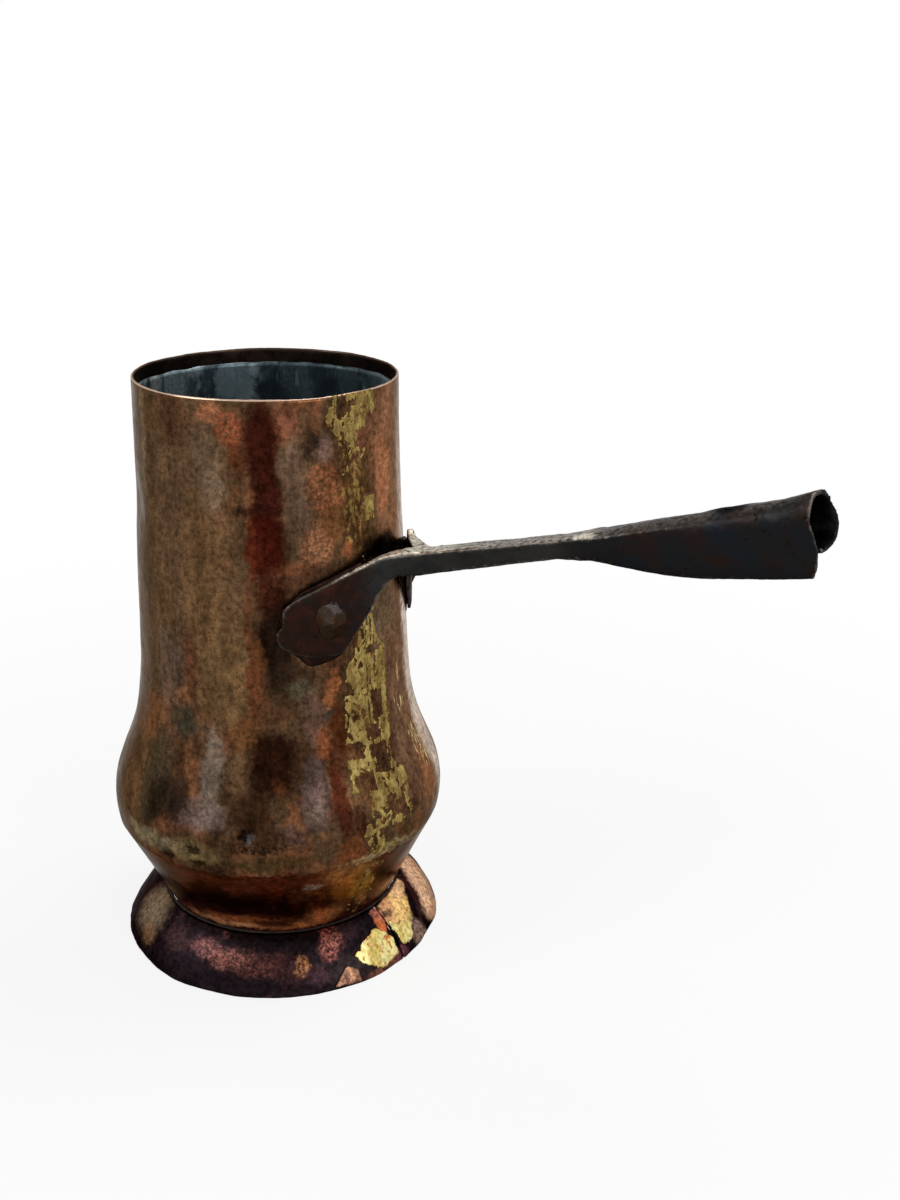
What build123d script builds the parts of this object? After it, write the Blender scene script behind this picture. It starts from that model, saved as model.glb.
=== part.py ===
from build123d import *
import math
import os

# Old chocolate pot: a copper wall closed by a brazed, toothed seam, a bottom disc, a flared foot,
# a tin lining, and a forged iron handle whose two lugs are riveted to the wall.
# Origin: centre of the foot's resting circle. +Z up, +X along the handle. Millimetres and degrees.

os.makedirs("parts", exist_ok=True)

# ---------------------------------------------------------------- driving dimensions
# Wall: outside radii, and the height that each stretch adds above the one below it
neck_radius = 44.0
neck_height = 17.0
taper_rise = 34.0
crease_inset = 0.8
belly_rise = 8.5
belly_radius = 61.7
shoulder_rise = 25.5
shoulder_radius = 53.6
waist_rise = 32.0
waist_radius = 48.8
lug_rise = 23.5
lug_wall_radius = 48.1
barrel_rise = 98.0
mouth_radius = 45.9
mouth_band = 4.5
crease_lean = 12.0
sheet = 1.0

# Bottom disc and the brazing below it
disc_height = 16.0
disc_thickness = 1.2
wall_lip = 3.0
base_fillet = 2.0

# Tin lining
tin_thickness = 0.2
tin_clearance = 0.1
lining_drop = 0.5

# Cramped wall seam
seam_azimuth = 15.0
strip_width = 7.0
tooth_reach = 6.0
tooth_height = 9.0
tooth_pitch = 18.0

# Foot
foot_inset = 1.5
foot_height = 17.6
foot_edge = 1.5
foot_bulge = -1.8
foot_fit = 0.1
foot_slit_azimuth = 8.0
foot_slit_width = 0.8
solder_rise = 2.0

# Brass patch on the foot's seam and the copper patch beside it
patch_depth = 1.0
patch_width = 28.0
patch_height = 14.0
patch_up = 10.0
patch_azimuth = 12.0
clip_width = 9.0
clip_height = 6.0
clip_up = 3.6
clip_azimuth = 32.0

# Lugs, their pads and rivets
lug_azimuth = 33.5
lug_thickness = 2.5
pad_thickness = 0.8
pad_drop = 4.0
lug_toe = 17.8
lug_over = 14.0
lug_under = 13.2
lug_heel = 5.6
leaf_slope = 4.3
rivet_radius = 3.0
rivet_head_radius = 5.4
rivet_head_height = 3.2
rivet_tail_radius = 4.4
rivet_tail_height = 1.8
rivet_clearance = 0.05
crown_shoulder_rise = 0.6
crown_shoulder_radius = 0.9
crown_top_radius = 0.55

# Handle
crotch_gap = 8.0
arm_thickness = 5.5
arm_leave = 25.0
arm_end = 36.0
shank_width = 9.5
shank_root_height = 8.6
shank_end_height = 7.0
shank_round = 0.8
shank_root_rise = 15.8
shank_length = 50.0
shank_climb = 13.4
throat_length = 16.0
throat_width = 14.0
throat_height = 10.4
socket_length = 84.3
socket_tilt = 13.4
socket_mouth_width = 27.4
socket_mouth_height = 17.0
socket_sheet = 1.5
socket_side_shift = 0.6
socket_corner_share = 0.46
flap_drop = 3.4
flap_low_share = 0.32
flap_low_drop = 3.8
flap_seam_gap = 1.0
nail_hole_radius = 2.3
nail_hole_setback = 29.0

# ---------------------------------------------------------------- heights and radii that follow
crease_height = neck_height + taper_rise
belly_height = crease_height + belly_rise
shoulder_height = belly_height + shoulder_rise
waist_height = shoulder_height + waist_rise
rivet_height = waist_height + lug_rise
pot_height = waist_height + barrel_rise
band_foot = pot_height - mouth_band
wall_foot = disc_height - wall_lip
crease_radius = belly_radius - crease_inset
foot_radius = belly_radius - foot_inset
taper_slope = (crease_radius - neck_radius) / taper_rise
reach = 2 * max(belly_radius, foot_radius)


def taper_radius(height):
    """Outside radius of the wall's straight taper at a height."""
    return neck_radius + taper_slope * (height - neck_height)


shank_root_z = rivet_height + shank_root_rise
seat_radius = max(waist_radius, lug_wall_radius) + pad_thickness
lug_face_radius = seat_radius + lug_thickness


# ---------------------------------------------------------------- shared outlines
def wall_line(inset):
    """The wall's line from the mouth to its lower end, moved towards the axis by inset."""
    band = Line((mouth_radius - inset, pot_height), (mouth_radius - inset, band_foot))
    swell = Spline(
        band @ 1,
        (lug_wall_radius - inset, rivet_height),
        (waist_radius - inset, waist_height),
        (shoulder_radius - inset, shoulder_height),
        (belly_radius - inset, belly_height),
        (crease_radius - inset, crease_height),
        tangents=[(0, -1), (-math.sin(math.radians(crease_lean)), -math.cos(math.radians(crease_lean)))],
    )
    taper = Line(swell @ 1, (taper_radius(wall_foot) - inset, wall_foot))
    return band @ 0, taper @ 1


def wall_section(outer_inset, inner_inset):
    """The closed section between two lines of the wall."""
    with BuildLine() as outline:
        outer_top, outer_foot = wall_line(outer_inset)
        inner_top, inner_foot = wall_line(inner_inset)
        Line(outer_top, inner_top)
        Line(outer_foot, inner_foot)
    make_face(outline.edges())


def keep_between(low, high):
    """Trims the sketch to a range of heights."""
    with Locations((0, low)):
        Rectangle(reach, high - low, align=(Align.MIN, Align.MIN), mode=Mode.INTERSECT)


def facing(azimuth, tip=0.0):
    """Plane through the axis that faces out at an azimuth towards -Y, tipped up by an angle."""
    turn, lift = math.radians(azimuth), math.radians(tip)
    across = (math.sin(turn), math.cos(turn), 0)
    outwards = (math.cos(turn) * math.cos(lift), -math.sin(turn) * math.cos(lift), math.sin(lift))
    return Plane(origin=(0, 0, 0), x_dir=across, z_dir=outwards)


def cramp_outline():
    """The toothed strip where the wall's two edges interlock."""
    length = pot_height - wall_foot
    with Locations((0, wall_foot)):
        Rectangle(strip_width, length, align=(Align.CENTER, Align.MIN))
    count = int((length - tooth_height) / tooth_pitch) + 1
    for number in range(count):
        side = 1 if number % 2 else -1
        middle = wall_foot + (number + 0.5) * tooth_pitch
        with Locations((side * (strip_width + tooth_reach) / 2, middle)):
            Rectangle(tooth_reach, tooth_height)


def leaf_line(drop):
    """The lug's leaf from its top edge round the toe to its lower edge, moved down by drop."""
    top = Spline(
        (lug_toe, rivet_height + lug_over + leaf_slope),
        (0.2 * lug_toe, rivet_height + lug_over),
        (-0.5 * lug_toe, rivet_height + lug_over - leaf_slope),
        (-0.87 * lug_toe, rivet_height + 0.4 * lug_over),
    )
    toe = Line(top @ 1, (-lug_toe, rivet_height - 0.45 * lug_under))
    low = Spline(
        toe @ 1,
        (-0.75 * lug_toe, rivet_height - 0.8 * lug_under - drop / 2),
        (-0.3 * lug_toe, rivet_height - lug_under - drop),
        (0.24 * lug_toe, rivet_height - lug_under - drop),
    )
    return top @ 0, low @ 1


def pad_outline():
    """The pad's leaf, closed straight across where the arm leaves the wall."""
    with BuildLine() as outline:
        top, low = leaf_line(pad_drop)
        Polyline(low, (lug_toe, rivet_height), top)
    make_face(outline.edges())


def lug_outline():
    """The lug's leaf with the arm that climbs from it to the shank's root."""
    with BuildLine() as outline:
        top, low = leaf_line(0)
        Line(top, (arm_end, shank_root_z + shank_root_height / 2))
        Polyline(
            low,
            (lug_toe, rivet_height + lug_heel),
            (arm_end - shank_width, shank_root_z - shank_root_height / 2),
            (arm_end, shank_root_z - shank_root_height / 2),
            (arm_end, shank_root_z + shank_root_height / 2),
        )
    make_face(outline.edges())


# ---------------------------------------------------------------- copper and brass
with BuildPart() as body_wall:
    with BuildSketch(Plane.XZ):
        wall_section(0, sheet)
    revolve(axis=Axis.Z)
    with BuildSketch(facing(seam_azimuth)):
        cramp_outline()
    extrude(amount=reach, mode=Mode.SUBTRACT)
    for azimuth in (lug_azimuth, -lug_azimuth):
        with BuildSketch(facing(azimuth)):
            with Locations((0, rivet_height)):
                Circle(rivet_radius + rivet_clearance)
        extrude(amount=reach, mode=Mode.SUBTRACT)
body_wall.part.label = "body_wall"
export_step(body_wall.part, "parts/body_wall.step")

with BuildPart() as wall_seam_braze:
    with BuildSketch(Plane.XZ):
        wall_section(0, sheet)
    revolve(axis=Axis.Z)
    with BuildSketch(facing(seam_azimuth)):
        cramp_outline()
    extrude(amount=reach, mode=Mode.INTERSECT)
wall_seam_braze.part.label = "wall_seam_braze"
export_step(wall_seam_braze.part, "parts/wall_seam_braze.step")

# The bottom disc fills the wall's bore where the taper meets the foot.
disc_top = disc_height + disc_thickness
with BuildPart() as base_disc:
    with BuildSketch(Plane.XZ):
        with BuildLine():
            Polyline(
                (0, disc_height),
                (taper_radius(disc_height) - sheet, disc_height),
                (taper_radius(disc_top) - sheet, disc_top),
                (0, disc_top),
                close=True,
            )
        make_face()
    revolve(axis=Axis.Z)
base_disc.part.label = "base_disc"
export_step(base_disc.part, "parts/base_disc.step")

# A fillet of brass holds the disc to the lip of the wall below it.
with BuildPart() as base_braze:
    with BuildSketch(Plane.XZ):
        with BuildLine():
            Polyline(
                (taper_radius(disc_height) - sheet, disc_height),
                (taper_radius(disc_height - base_fillet) - sheet, disc_height - base_fillet),
                (taper_radius(disc_height) - sheet - base_fillet, disc_height),
                close=True,
            )
        make_face()
    revolve(axis=Axis.Z)
base_braze.part.label = "base_braze"
export_step(base_braze.part, "parts/base_braze.step")

# ---------------------------------------------------------------- tin
lining_top = band_foot - lining_drop
with BuildPart() as tin_lining:
    with BuildSketch(Plane.XZ):
        wall_section(sheet + tin_clearance, sheet + tin_clearance + tin_thickness)
        keep_between(disc_top, lining_top)
        with Locations((0, disc_top)):
            floor_radius = taper_radius(disc_top) - sheet - tin_clearance
            Rectangle(floor_radius, tin_thickness, align=(Align.MIN, Align.MIN))
    revolve(axis=Axis.Z)
    for azimuth in (lug_azimuth, -lug_azimuth):
        with BuildSketch(facing(azimuth)):
            with Locations((0, rivet_height)):
                Circle(rivet_radius + rivet_clearance)
        extrude(amount=reach, mode=Mode.SUBTRACT)
tin_lining.part.label = "tin_lining"
export_step(tin_lining.part, "parts/tin_lining.step")

# ---------------------------------------------------------------- foot
foot_top_radius = taper_radius(foot_height) + foot_fit


def skirt_line(shift):
    """The skirt's bowed line from its resting edge to its top, moved outwards by shift."""
    top_radius = foot_top_radius + foot_edge + shift
    return SagittaArc((foot_radius + shift, 0), (top_radius, foot_height), foot_bulge)


def skirt_section(inner_shift, outer_shift):
    """The closed section between two of the skirt's lines."""
    with BuildLine() as outline:
        inner = skirt_line(inner_shift)
        outer = skirt_line(outer_shift)
        Line(inner @ 0, outer @ 0)
        Line(inner @ 1, outer @ 1)
    make_face(outline.edges())


with BuildPart() as foot_skirt:
    with BuildSketch(Plane.XZ):
        skirt_section(-foot_edge, 0)
    revolve(axis=Axis.Z)
    with BuildSketch(facing(foot_slit_azimuth)):
        Rectangle(foot_slit_width, foot_height * 3)
    extrude(amount=reach, mode=Mode.SUBTRACT)
foot_skirt.part.label = "foot_skirt"
export_step(foot_skirt.part, "parts/foot_skirt.step")

# The skirt's plane of tilt: patches are cut square to it.
skirt_tip = math.degrees(math.atan2(foot_radius - foot_top_radius, foot_height))


def skirt_place(azimuth, up):
    """Plane square to the skirt at an azimuth, its origin the given way up the slope."""
    flat = facing(azimuth, skirt_tip)
    turn, lift = math.radians(azimuth), math.radians(skirt_tip)
    radius = foot_radius - up * math.sin(lift)
    return Plane(
        origin=(radius * math.cos(turn), -radius * math.sin(turn), up * math.cos(lift)),
        x_dir=flat.x_dir,
        z_dir=flat.z_dir,
    )


with BuildPart() as foot_seam_braze:
    with BuildSketch(Plane.XZ):
        skirt_section(0, patch_depth)
    revolve(axis=Axis.Z)
    with BuildSketch(skirt_place(patch_azimuth, patch_up)):
        with BuildLine():
            Polyline(
                (-patch_width / 2, 0),
                (-patch_width / 4, patch_height / 2),
                (patch_width / 8, patch_height / 2),
                (patch_width / 2, -patch_height / 8),
                (patch_width / 4, -patch_height / 2),
                (patch_width / 8, 0),
                (0, -patch_height / 2),
                (-patch_width * 0.4, -patch_height / 2),
                close=True,
            )
        make_face()
    extrude(amount=foot_height, both=True, mode=Mode.INTERSECT)
foot_seam_braze.part.label = "foot_seam_braze"
export_step(foot_seam_braze.part, "parts/foot_seam_braze.step")

with BuildPart() as foot_patch:
    with BuildSketch(Plane.XZ):
        skirt_section(0, patch_depth)
    revolve(axis=Axis.Z)
    with BuildSketch(skirt_place(clip_azimuth, clip_up)):
        with BuildLine():
            Polyline(
                (-clip_width / 2, -clip_height / 2),
                (clip_width * 0.4, -clip_height / 3),
                (clip_width * 0.4, clip_height / 6),
                (0, clip_height / 2),
                close=True,
            )
        make_face()
    extrude(amount=foot_height, both=True, mode=Mode.INTERSECT)
foot_patch.part.label = "foot_patch"
export_step(foot_patch.part, "parts/foot_patch.step")

# Solder fills the corner between the skirt's top edge and the wall.
with BuildPart() as neck_solder:
    with BuildSketch(Plane.XZ):
        with BuildLine():
            Polyline(
                (taper_radius(foot_height), foot_height),
                (taper_radius(foot_height + solder_rise), foot_height + solder_rise),
                (foot_top_radius + foot_edge, foot_height),
                close=True,
            )
        make_face()
    revolve(axis=Axis.Z)
neck_solder.part.label = "neck_solder"
export_step(neck_solder.part, "parts/neck_solder.step")

# ---------------------------------------------------------------- lug pads
with BuildPart() as wall_core:
    with BuildSketch(Plane.XZ):
        with BuildLine():
            top, foot = wall_line(0)
            Polyline(top, (0, pot_height), (0, wall_foot), foot)
        make_face()
    revolve(axis=Axis.Z)

lug_pads = {}
for side in ("left", "right"):
    with BuildPart() as lug_pad:
        with BuildSketch(facing(lug_azimuth)):
            pad_outline()
            with Locations((0, rivet_height)):
                Circle(rivet_radius + rivet_clearance, mode=Mode.SUBTRACT)
        extrude(amount=reach)
        with Locations((0, 0, pot_height / 2)):
            Cylinder(seat_radius, pot_height, mode=Mode.INTERSECT)
        add(wall_core.part, mode=Mode.SUBTRACT)
        if side == "right":
            mirror(about=Plane.XZ, mode=Mode.REPLACE)
    lug_pads[side] = lug_pad
    lug_pad.part.label = f"{side}_lug_pad"
    export_step(lug_pad.part, f"parts/{side}_lug_pad.step")

# ---------------------------------------------------------------- handle
crotch_x = seat_radius + crotch_gap
root_x = crotch_x + arm_thickness
shank_end_x = root_x + shank_length
shank_end_z = shank_root_z + shank_climb
throat_x = shank_end_x + throat_length
throat_z = shank_end_z + throat_length * math.tan(math.radians(socket_tilt))
mouth_x = shank_end_x + socket_length
cone_length = mouth_x - throat_x
flap_low_x = throat_x + flap_low_share * cone_length


def cone(x):
    """The socket's width, height, sideways shift and centre height at a distance from the axis."""
    share = (x - throat_x) / cone_length
    width = throat_width + (socket_mouth_width - throat_width) * share
    height = throat_height + (socket_mouth_height - throat_height) * share
    rise = (x - throat_x) * math.tan(math.radians(socket_tilt))
    return width, height, socket_side_shift * share, throat_z + rise


def cone_section(x, inset):
    """The rolled sheet's outline at a distance from the axis, moved inwards by inset."""
    width, height, shift, middle = cone(x)
    with Locations((shift, middle)):
        RectangleRounded(width - 2 * inset, height - 2 * inset, socket_corner_share * (height - 2 * inset))


def side_strip(x, inner, thickness, low, high):
    """A thin upright strip beside the socket's left wall, between two heights."""
    width, height, shift, middle = cone(x)
    with Locations((shift - width / 2 + inner + thickness / 2, (low + high) / 2)):
        Rectangle(thickness, high - low)


with BuildPart() as handle_iron:
    # left arm: its plan runs along the wall, then leaves it for the crotch
    with BuildSketch(Plane.XY.offset(wall_foot)):
        with BuildLine():
            turn = math.radians(arm_leave)
            along = (math.sin(turn), math.cos(turn))
            outer = CenterArc((0, 0), lug_face_radius, -90, 90 - arm_leave)
            outer_bend = TangentArc(outer @ 1, (root_x, -shank_width / 2), tangent=along)
            inner = CenterArc((0, 0), seat_radius, -90, 90 - arm_leave)
            inner_bend = TangentArc(inner @ 1, (crotch_x, 0), tangent=along)
            Line(outer @ 0, inner @ 0)
            Polyline(outer_bend @ 1, (root_x, 0), inner_bend @ 1)
        make_face()
    extrude(amount=pot_height)
    with BuildSketch(facing(lug_azimuth)):
        lug_outline()
        with Locations((0, rivet_height)):
            Circle(rivet_radius + rivet_clearance, mode=Mode.SUBTRACT)
    extrude(amount=reach, mode=Mode.INTERSECT)
    mirror(about=Plane.XZ)
    # shank
    with BuildSketch(Plane.YZ.offset(crotch_x + arm_thickness / 2)):
        with Locations((0, shank_root_z - shank_climb * arm_thickness / 2 / shank_length)):
            RectangleRounded(shank_width, shank_root_height, shank_round)
    with BuildSketch(Plane.YZ.offset(shank_end_x)):
        with Locations((0, shank_end_z)):
            RectangleRounded(shank_width, shank_end_height, shank_round)
    loft()
    # throat, where the bar spreads into the rolled socket
    with BuildSketch(Plane.YZ.offset(shank_end_x)):
        with Locations((0, shank_end_z)):
            RectangleRounded(shank_width, shank_end_height, shank_round)
    with BuildSketch(Plane.YZ.offset(throat_x)):
        cone_section(throat_x, 0)
    loft()
    with BuildSketch(Plane.YZ.offset(throat_x)):
        cone_section(throat_x, 0)
    with BuildSketch(Plane.YZ.offset(mouth_x)):
        cone_section(mouth_x, 0)
    loft()
    # the sheet's left edge hangs below the roll
    flap_ends = ((throat_x, 0), (flap_low_x, flap_low_drop), (mouth_x, flap_drop))
    for start, end in zip(flap_ends, flap_ends[1:]):
        for x, drop in (start, end):
            with BuildSketch(Plane.YZ.offset(x)):
                width, height, shift, middle = cone(x)
                side_strip(x, 0, socket_sheet, middle - height / 2 - drop, middle)
        loft()
    # hollow of the socket, open at the mouth
    with BuildSketch(Plane.YZ.offset(throat_x)):
        cone_section(throat_x, socket_sheet)
    with BuildSketch(Plane.YZ.offset(mouth_x)):
        cone_section(mouth_x, socket_sheet)
    loft(mode=Mode.SUBTRACT)
    # the roll's free edge stands off the hanging edge
    for x in (throat_x + throat_length, mouth_x):
        with BuildSketch(Plane.YZ.offset(x)):
            middle = cone(x)[3]
            half = cone(x)[1] / 2
            side_strip(x, socket_sheet, flap_seam_gap, middle - half * 1.2, middle - half * 0.3)
    loft(mode=Mode.SUBTRACT)
    # nail hole through the top of the roll
    nail_x = mouth_x - nail_hole_setback
    with BuildSketch(Plane.XY.offset(cone(nail_x)[3])):
        with Locations((nail_x, cone(nail_x)[2])):
            Circle(nail_hole_radius)
    extrude(amount=cone(nail_x)[1], mode=Mode.SUBTRACT)
handle_iron.part.label = "handle_iron"
export_step(handle_iron.part, "parts/handle_iron.step")

# ---------------------------------------------------------------- rivets
lining_face = lug_wall_radius - sheet - tin_clearance - tin_thickness
for side in ("left", "right"):
    axis_plane = facing(lug_azimuth)
    with BuildPart() as rivet:
        with BuildSketch(axis_plane.offset(lining_face - rivet_tail_height)):
            with Locations((0, rivet_height)):
                Circle(rivet_radius)
        extrude(amount=rivet_tail_height + lug_face_radius - lining_face + rivet_head_height / 2)
        head_seat = lug_thickness / 4
        tail_seat = sheet / 2
        for face, rim, crown, way in (
            (lug_face_radius - head_seat, rivet_head_radius, rivet_head_height + head_seat, 1),
            (lining_face + tail_seat, rivet_tail_radius, rivet_tail_height + tail_seat, -1),
        ):
            with BuildSketch(axis_plane.offset(face)):
                with Locations((0, rivet_height)):
                    Circle(rim)
            with BuildSketch(axis_plane.offset(face + way * crown * crown_shoulder_rise)):
                with Locations((0, rivet_height)):
                    Circle(rim * crown_shoulder_radius)
            with BuildSketch(axis_plane.offset(face + way * crown)):
                with Locations((0, rivet_height)):
                    Circle(rim * crown_top_radius)
            loft(ruled=True)
        for neighbour in (body_wall, wall_seam_braze, tin_lining, handle_iron, lug_pads["left"]):
            add(neighbour.part, mode=Mode.SUBTRACT)
        if side == "right":
            mirror(about=Plane.XZ, mode=Mode.REPLACE)
    rivet.part.label = f"{side}_rivet"
    export_step(rivet.part, f"parts/{side}_rivet.step")
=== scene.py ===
"""Chocolate pot: the dressed model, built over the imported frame.

Sizes in the classes are millimetres and degrees, and `MM` turns millimetres into metres.
Colours are hexadecimal sRGB.
Azimuth is measured about the pot's axis from +X towards -Y, and height from the table.
"""

import logging
import math
from dataclasses import dataclass
from enum import Enum
from typing import Callable, Iterable, Sequence

import bmesh
import bpy
import numpy as np
from mathutils import Matrix, Vector, noise
from mathutils.bvhtree import BVHTree

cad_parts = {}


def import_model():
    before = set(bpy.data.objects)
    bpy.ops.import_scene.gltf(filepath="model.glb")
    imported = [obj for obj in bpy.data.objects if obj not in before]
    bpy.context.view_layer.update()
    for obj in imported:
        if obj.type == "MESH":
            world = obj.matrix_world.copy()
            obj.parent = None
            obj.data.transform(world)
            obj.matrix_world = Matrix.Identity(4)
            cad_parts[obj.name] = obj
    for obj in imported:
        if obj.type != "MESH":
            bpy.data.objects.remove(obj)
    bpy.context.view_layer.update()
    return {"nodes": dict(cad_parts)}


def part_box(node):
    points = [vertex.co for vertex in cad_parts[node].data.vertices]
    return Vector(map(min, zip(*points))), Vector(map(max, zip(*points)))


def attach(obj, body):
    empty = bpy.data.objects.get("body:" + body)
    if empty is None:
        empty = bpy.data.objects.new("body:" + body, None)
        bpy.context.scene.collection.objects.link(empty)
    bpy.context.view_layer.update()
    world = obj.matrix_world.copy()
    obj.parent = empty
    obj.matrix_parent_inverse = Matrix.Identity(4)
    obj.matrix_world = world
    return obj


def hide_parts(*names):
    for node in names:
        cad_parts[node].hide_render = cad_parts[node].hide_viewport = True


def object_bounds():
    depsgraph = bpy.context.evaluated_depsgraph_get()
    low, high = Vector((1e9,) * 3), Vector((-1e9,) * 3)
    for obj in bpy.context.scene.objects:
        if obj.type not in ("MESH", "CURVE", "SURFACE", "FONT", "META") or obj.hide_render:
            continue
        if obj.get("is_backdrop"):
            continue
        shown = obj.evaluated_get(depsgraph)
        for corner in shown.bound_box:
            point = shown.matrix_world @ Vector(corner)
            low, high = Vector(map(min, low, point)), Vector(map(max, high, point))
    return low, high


MM = 0.001
BODY = "root"
ARC_RADIUS = 50.0
ORIGIN = (0.0, 0.0, 0.0)
Array = np.ndarray
Box = tuple[float, float, float, float]
Face = tuple[int, ...]
Field = Callable[[Array], Array]
Line = tuple[tuple[float, float], ...]
Material = bpy.types.Material
Piece = bpy.types.Object
Socket = bpy.types.NodeSocket
Tree = bpy.types.NodeTree
Value = float | Sequence[float] | Socket
Values = dict[str | int, Value]
log = logging.getLogger("chocolate_pot")


class Slot(Enum):
    """The record's material slots that the pieces take their finish from."""

    WALL = "copper_wall"
    BASE = "copper_base"
    FOOT = "copper_foot"
    BRASS = "brass"
    TIN = "tin"
    SOLDER = "solder"
    IRON = "iron"
    PAD = "iron_pad"
    RIVET = "rivet_iron"


class Side(Enum):
    """The two sides of the handle, as the sign of Y that each lies on."""

    LEFT = -1
    RIGHT = 1


# ---- points and meshes
def polar(azimuth: Array | float, radius: Array | float, height: Array | float) -> Array:
    """Points, with a last axis of three, from azimuths in degrees, radii and heights."""
    turn = np.radians(azimuth)
    return np.stack(np.broadcast_arrays(radius * np.cos(turn), -radius * np.sin(turn), height), axis=-1)


def unevenness(points: Array, size: float, seed: float, stretch: Sequence[float] = (1, 1, 1)) -> Array:
    """Smooth noise between about -1 and 1 at each point.

    Args:
        points: Points with a last axis of three.
        size: The noise's feature size.
        seed: Shifts the noise, so that two fields differ.
        stretch: How much longer the features are along each axis.

    Returns:
        One value for each point.
    """
    scaled = points.reshape(-1, 3) / (size * np.asarray(stretch, float)) + seed
    values = [noise.noise(Vector(point)) for point in scaled.tolist()]
    return np.asarray(values).reshape(points.shape[:-1])


def mesh_object(name: str, points: Array, faces: Iterable[Sequence[int]]) -> Piece:
    """Makes an object in the scene from points in millimetres.

    Args:
        name: The piece's name.
        points: Vertices, one row each.
        faces: Vertex numbers of each face.

    Returns:
        The new object, shaded smooth, with its normals facing out.
    """
    mesh = bpy.data.meshes.new(name)
    mesh.from_pydata((points.reshape(-1, 3) * MM).tolist(), [], [tuple(face) for face in faces])
    mesh.validate()
    shape = bmesh.new()
    shape.from_mesh(mesh)
    bmesh.ops.recalc_face_normals(shape, faces=shape.faces)
    shape.to_mesh(mesh)
    shape.free()
    mesh.shade_smooth()
    made = bpy.data.objects.new(name, mesh)
    bpy.context.scene.collection.objects.link(made)
    return made


def grid_faces(rows: int, columns: int, wrap_rows: bool, wrap_columns: bool, start: int = 0) -> list[Face]:
    """Quads that join a grid of vertices.

    Args:
        rows: Number of rows.
        columns: Number of columns.
        wrap_rows: Whether the last row joins the first.
        wrap_columns: Whether the last column joins the first.
        start: The number of the grid's first vertex.

    Returns:
        The quads' vertex numbers.
    """
    number = np.arange(rows * columns).reshape(rows, columns) + start
    if wrap_rows:
        number = np.concatenate([number, number[:1]], axis=0)
    if wrap_columns:
        number = np.concatenate([number, number[:, :1]], axis=1)
    quads = np.stack([number[:-1, :-1], number[:-1, 1:], number[1:, 1:], number[1:, :-1]], axis=-1)
    return [tuple(quad) for quad in quads.reshape(-1, 4).tolist()]


def slab(name: str, outer: Array, inner: Array) -> Piece:
    """A closed solid between two grids of the same size.

    Args:
        name: The piece's name.
        outer: The grid of points of its outer face.
        inner: The grid of points of its inner face.

    Returns:
        The new object.
    """
    rows, columns = outer.shape[:2]
    count = rows * columns
    faces = grid_faces(rows, columns, False, False)
    faces += [face[::-1] for face in grid_faces(rows, columns, False, False, count)]
    number = np.arange(count).reshape(rows, columns)
    rim = np.concatenate([number[0, :-1], number[:-1, -1], number[-1, :0:-1], number[:0:-1, 0]])
    after = np.roll(rim, -1)
    faces += [(b, a, a + count, b + count) for a, b in zip(rim.tolist(), after.tolist())]
    return mesh_object(name, np.concatenate([outer.reshape(-1, 3), inner.reshape(-1, 3)]), faces)


def tube(name: str, rings: Array) -> Piece:
    """A closed solid through rings of points, flat at both ends.

    Args:
        name: The piece's name.
        rings: Points as ring, place on the ring, coordinate.

    Returns:
        The new object.
    """
    count, around = rings.shape[:2]
    faces = grid_faces(count, around, False, True)
    faces.append(tuple(range(around))[::-1])
    faces.append(tuple(range((count - 1) * around, count * around)))
    return mesh_object(name, rings, faces)


def evaluated_copy(source: Piece, name: str) -> Piece:
    """Applies an object's modifiers.

    Args:
        source: The object, which is deleted.
        name: The new object's name.

    Returns:
        A new object without modifiers.
    """
    graph = bpy.context.evaluated_depsgraph_get()
    mesh = bpy.data.meshes.new_from_object(source.evaluated_get(graph))
    bpy.data.objects.remove(source)
    mesh.name = name
    made = bpy.data.objects.new(name, mesh)
    bpy.context.scene.collection.objects.link(made)
    return made


def rows_of(items: bpy.types.bpy_prop_collection, key: str, width: int, kind: type) -> Array:
    """Reads a property of each item.

    Args:
        items: The mesh's vertices, edges or normals.
        key: The property's name.
        width: How many numbers it has.
        kind: The numbers' type.

    Returns:
        One row for each item.
    """
    flat = np.empty(len(items) * width, kind)
    items.foreach_get(key, flat)
    return flat.reshape(-1, width)


def vertices(piece: Piece) -> Array:
    """The piece's vertices in millimetres."""
    return rows_of(piece.data.vertices, "co", 3, np.float32).astype(float) / MM


def move_vertices(piece: Piece, points: Array) -> None:
    """Writes the piece's vertices back from millimetres."""
    piece.data.vertices.foreach_set("co", (points * MM).astype(np.float32).ravel())
    piece.data.update()


def vertex_normals(piece: Piece) -> Array:
    """The piece's vertex normals."""
    return rows_of(piece.data.vertex_normals, "vector", 3, np.float32).astype(float)


def write_attribute(piece: Piece, name: str, values: Array) -> None:
    """Writes one value for each vertex."""
    attribute = piece.data.attributes.new(name, "FLOAT", "POINT")
    attribute.data.foreach_set("value", values.astype(np.float32))


def mark_rub_and_top_light(piece: Piece, share: Field) -> None:
    """Writes how much each vertex is rubbed bright, with painted light from above on its upward faces, to the
    attribute "rub_and_top_light".

    Args:
        piece: The piece, whose upper faces are rubbed and painted as lit from above.
        share: Gives the amount for an upward face at each point.
    """
    upward = np.clip((vertex_normals(piece)[:, 2] - 0.3) / 0.6, 0, 1)
    write_attribute(piece, "rub_and_top_light", upward * share(vertices(piece)))


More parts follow.
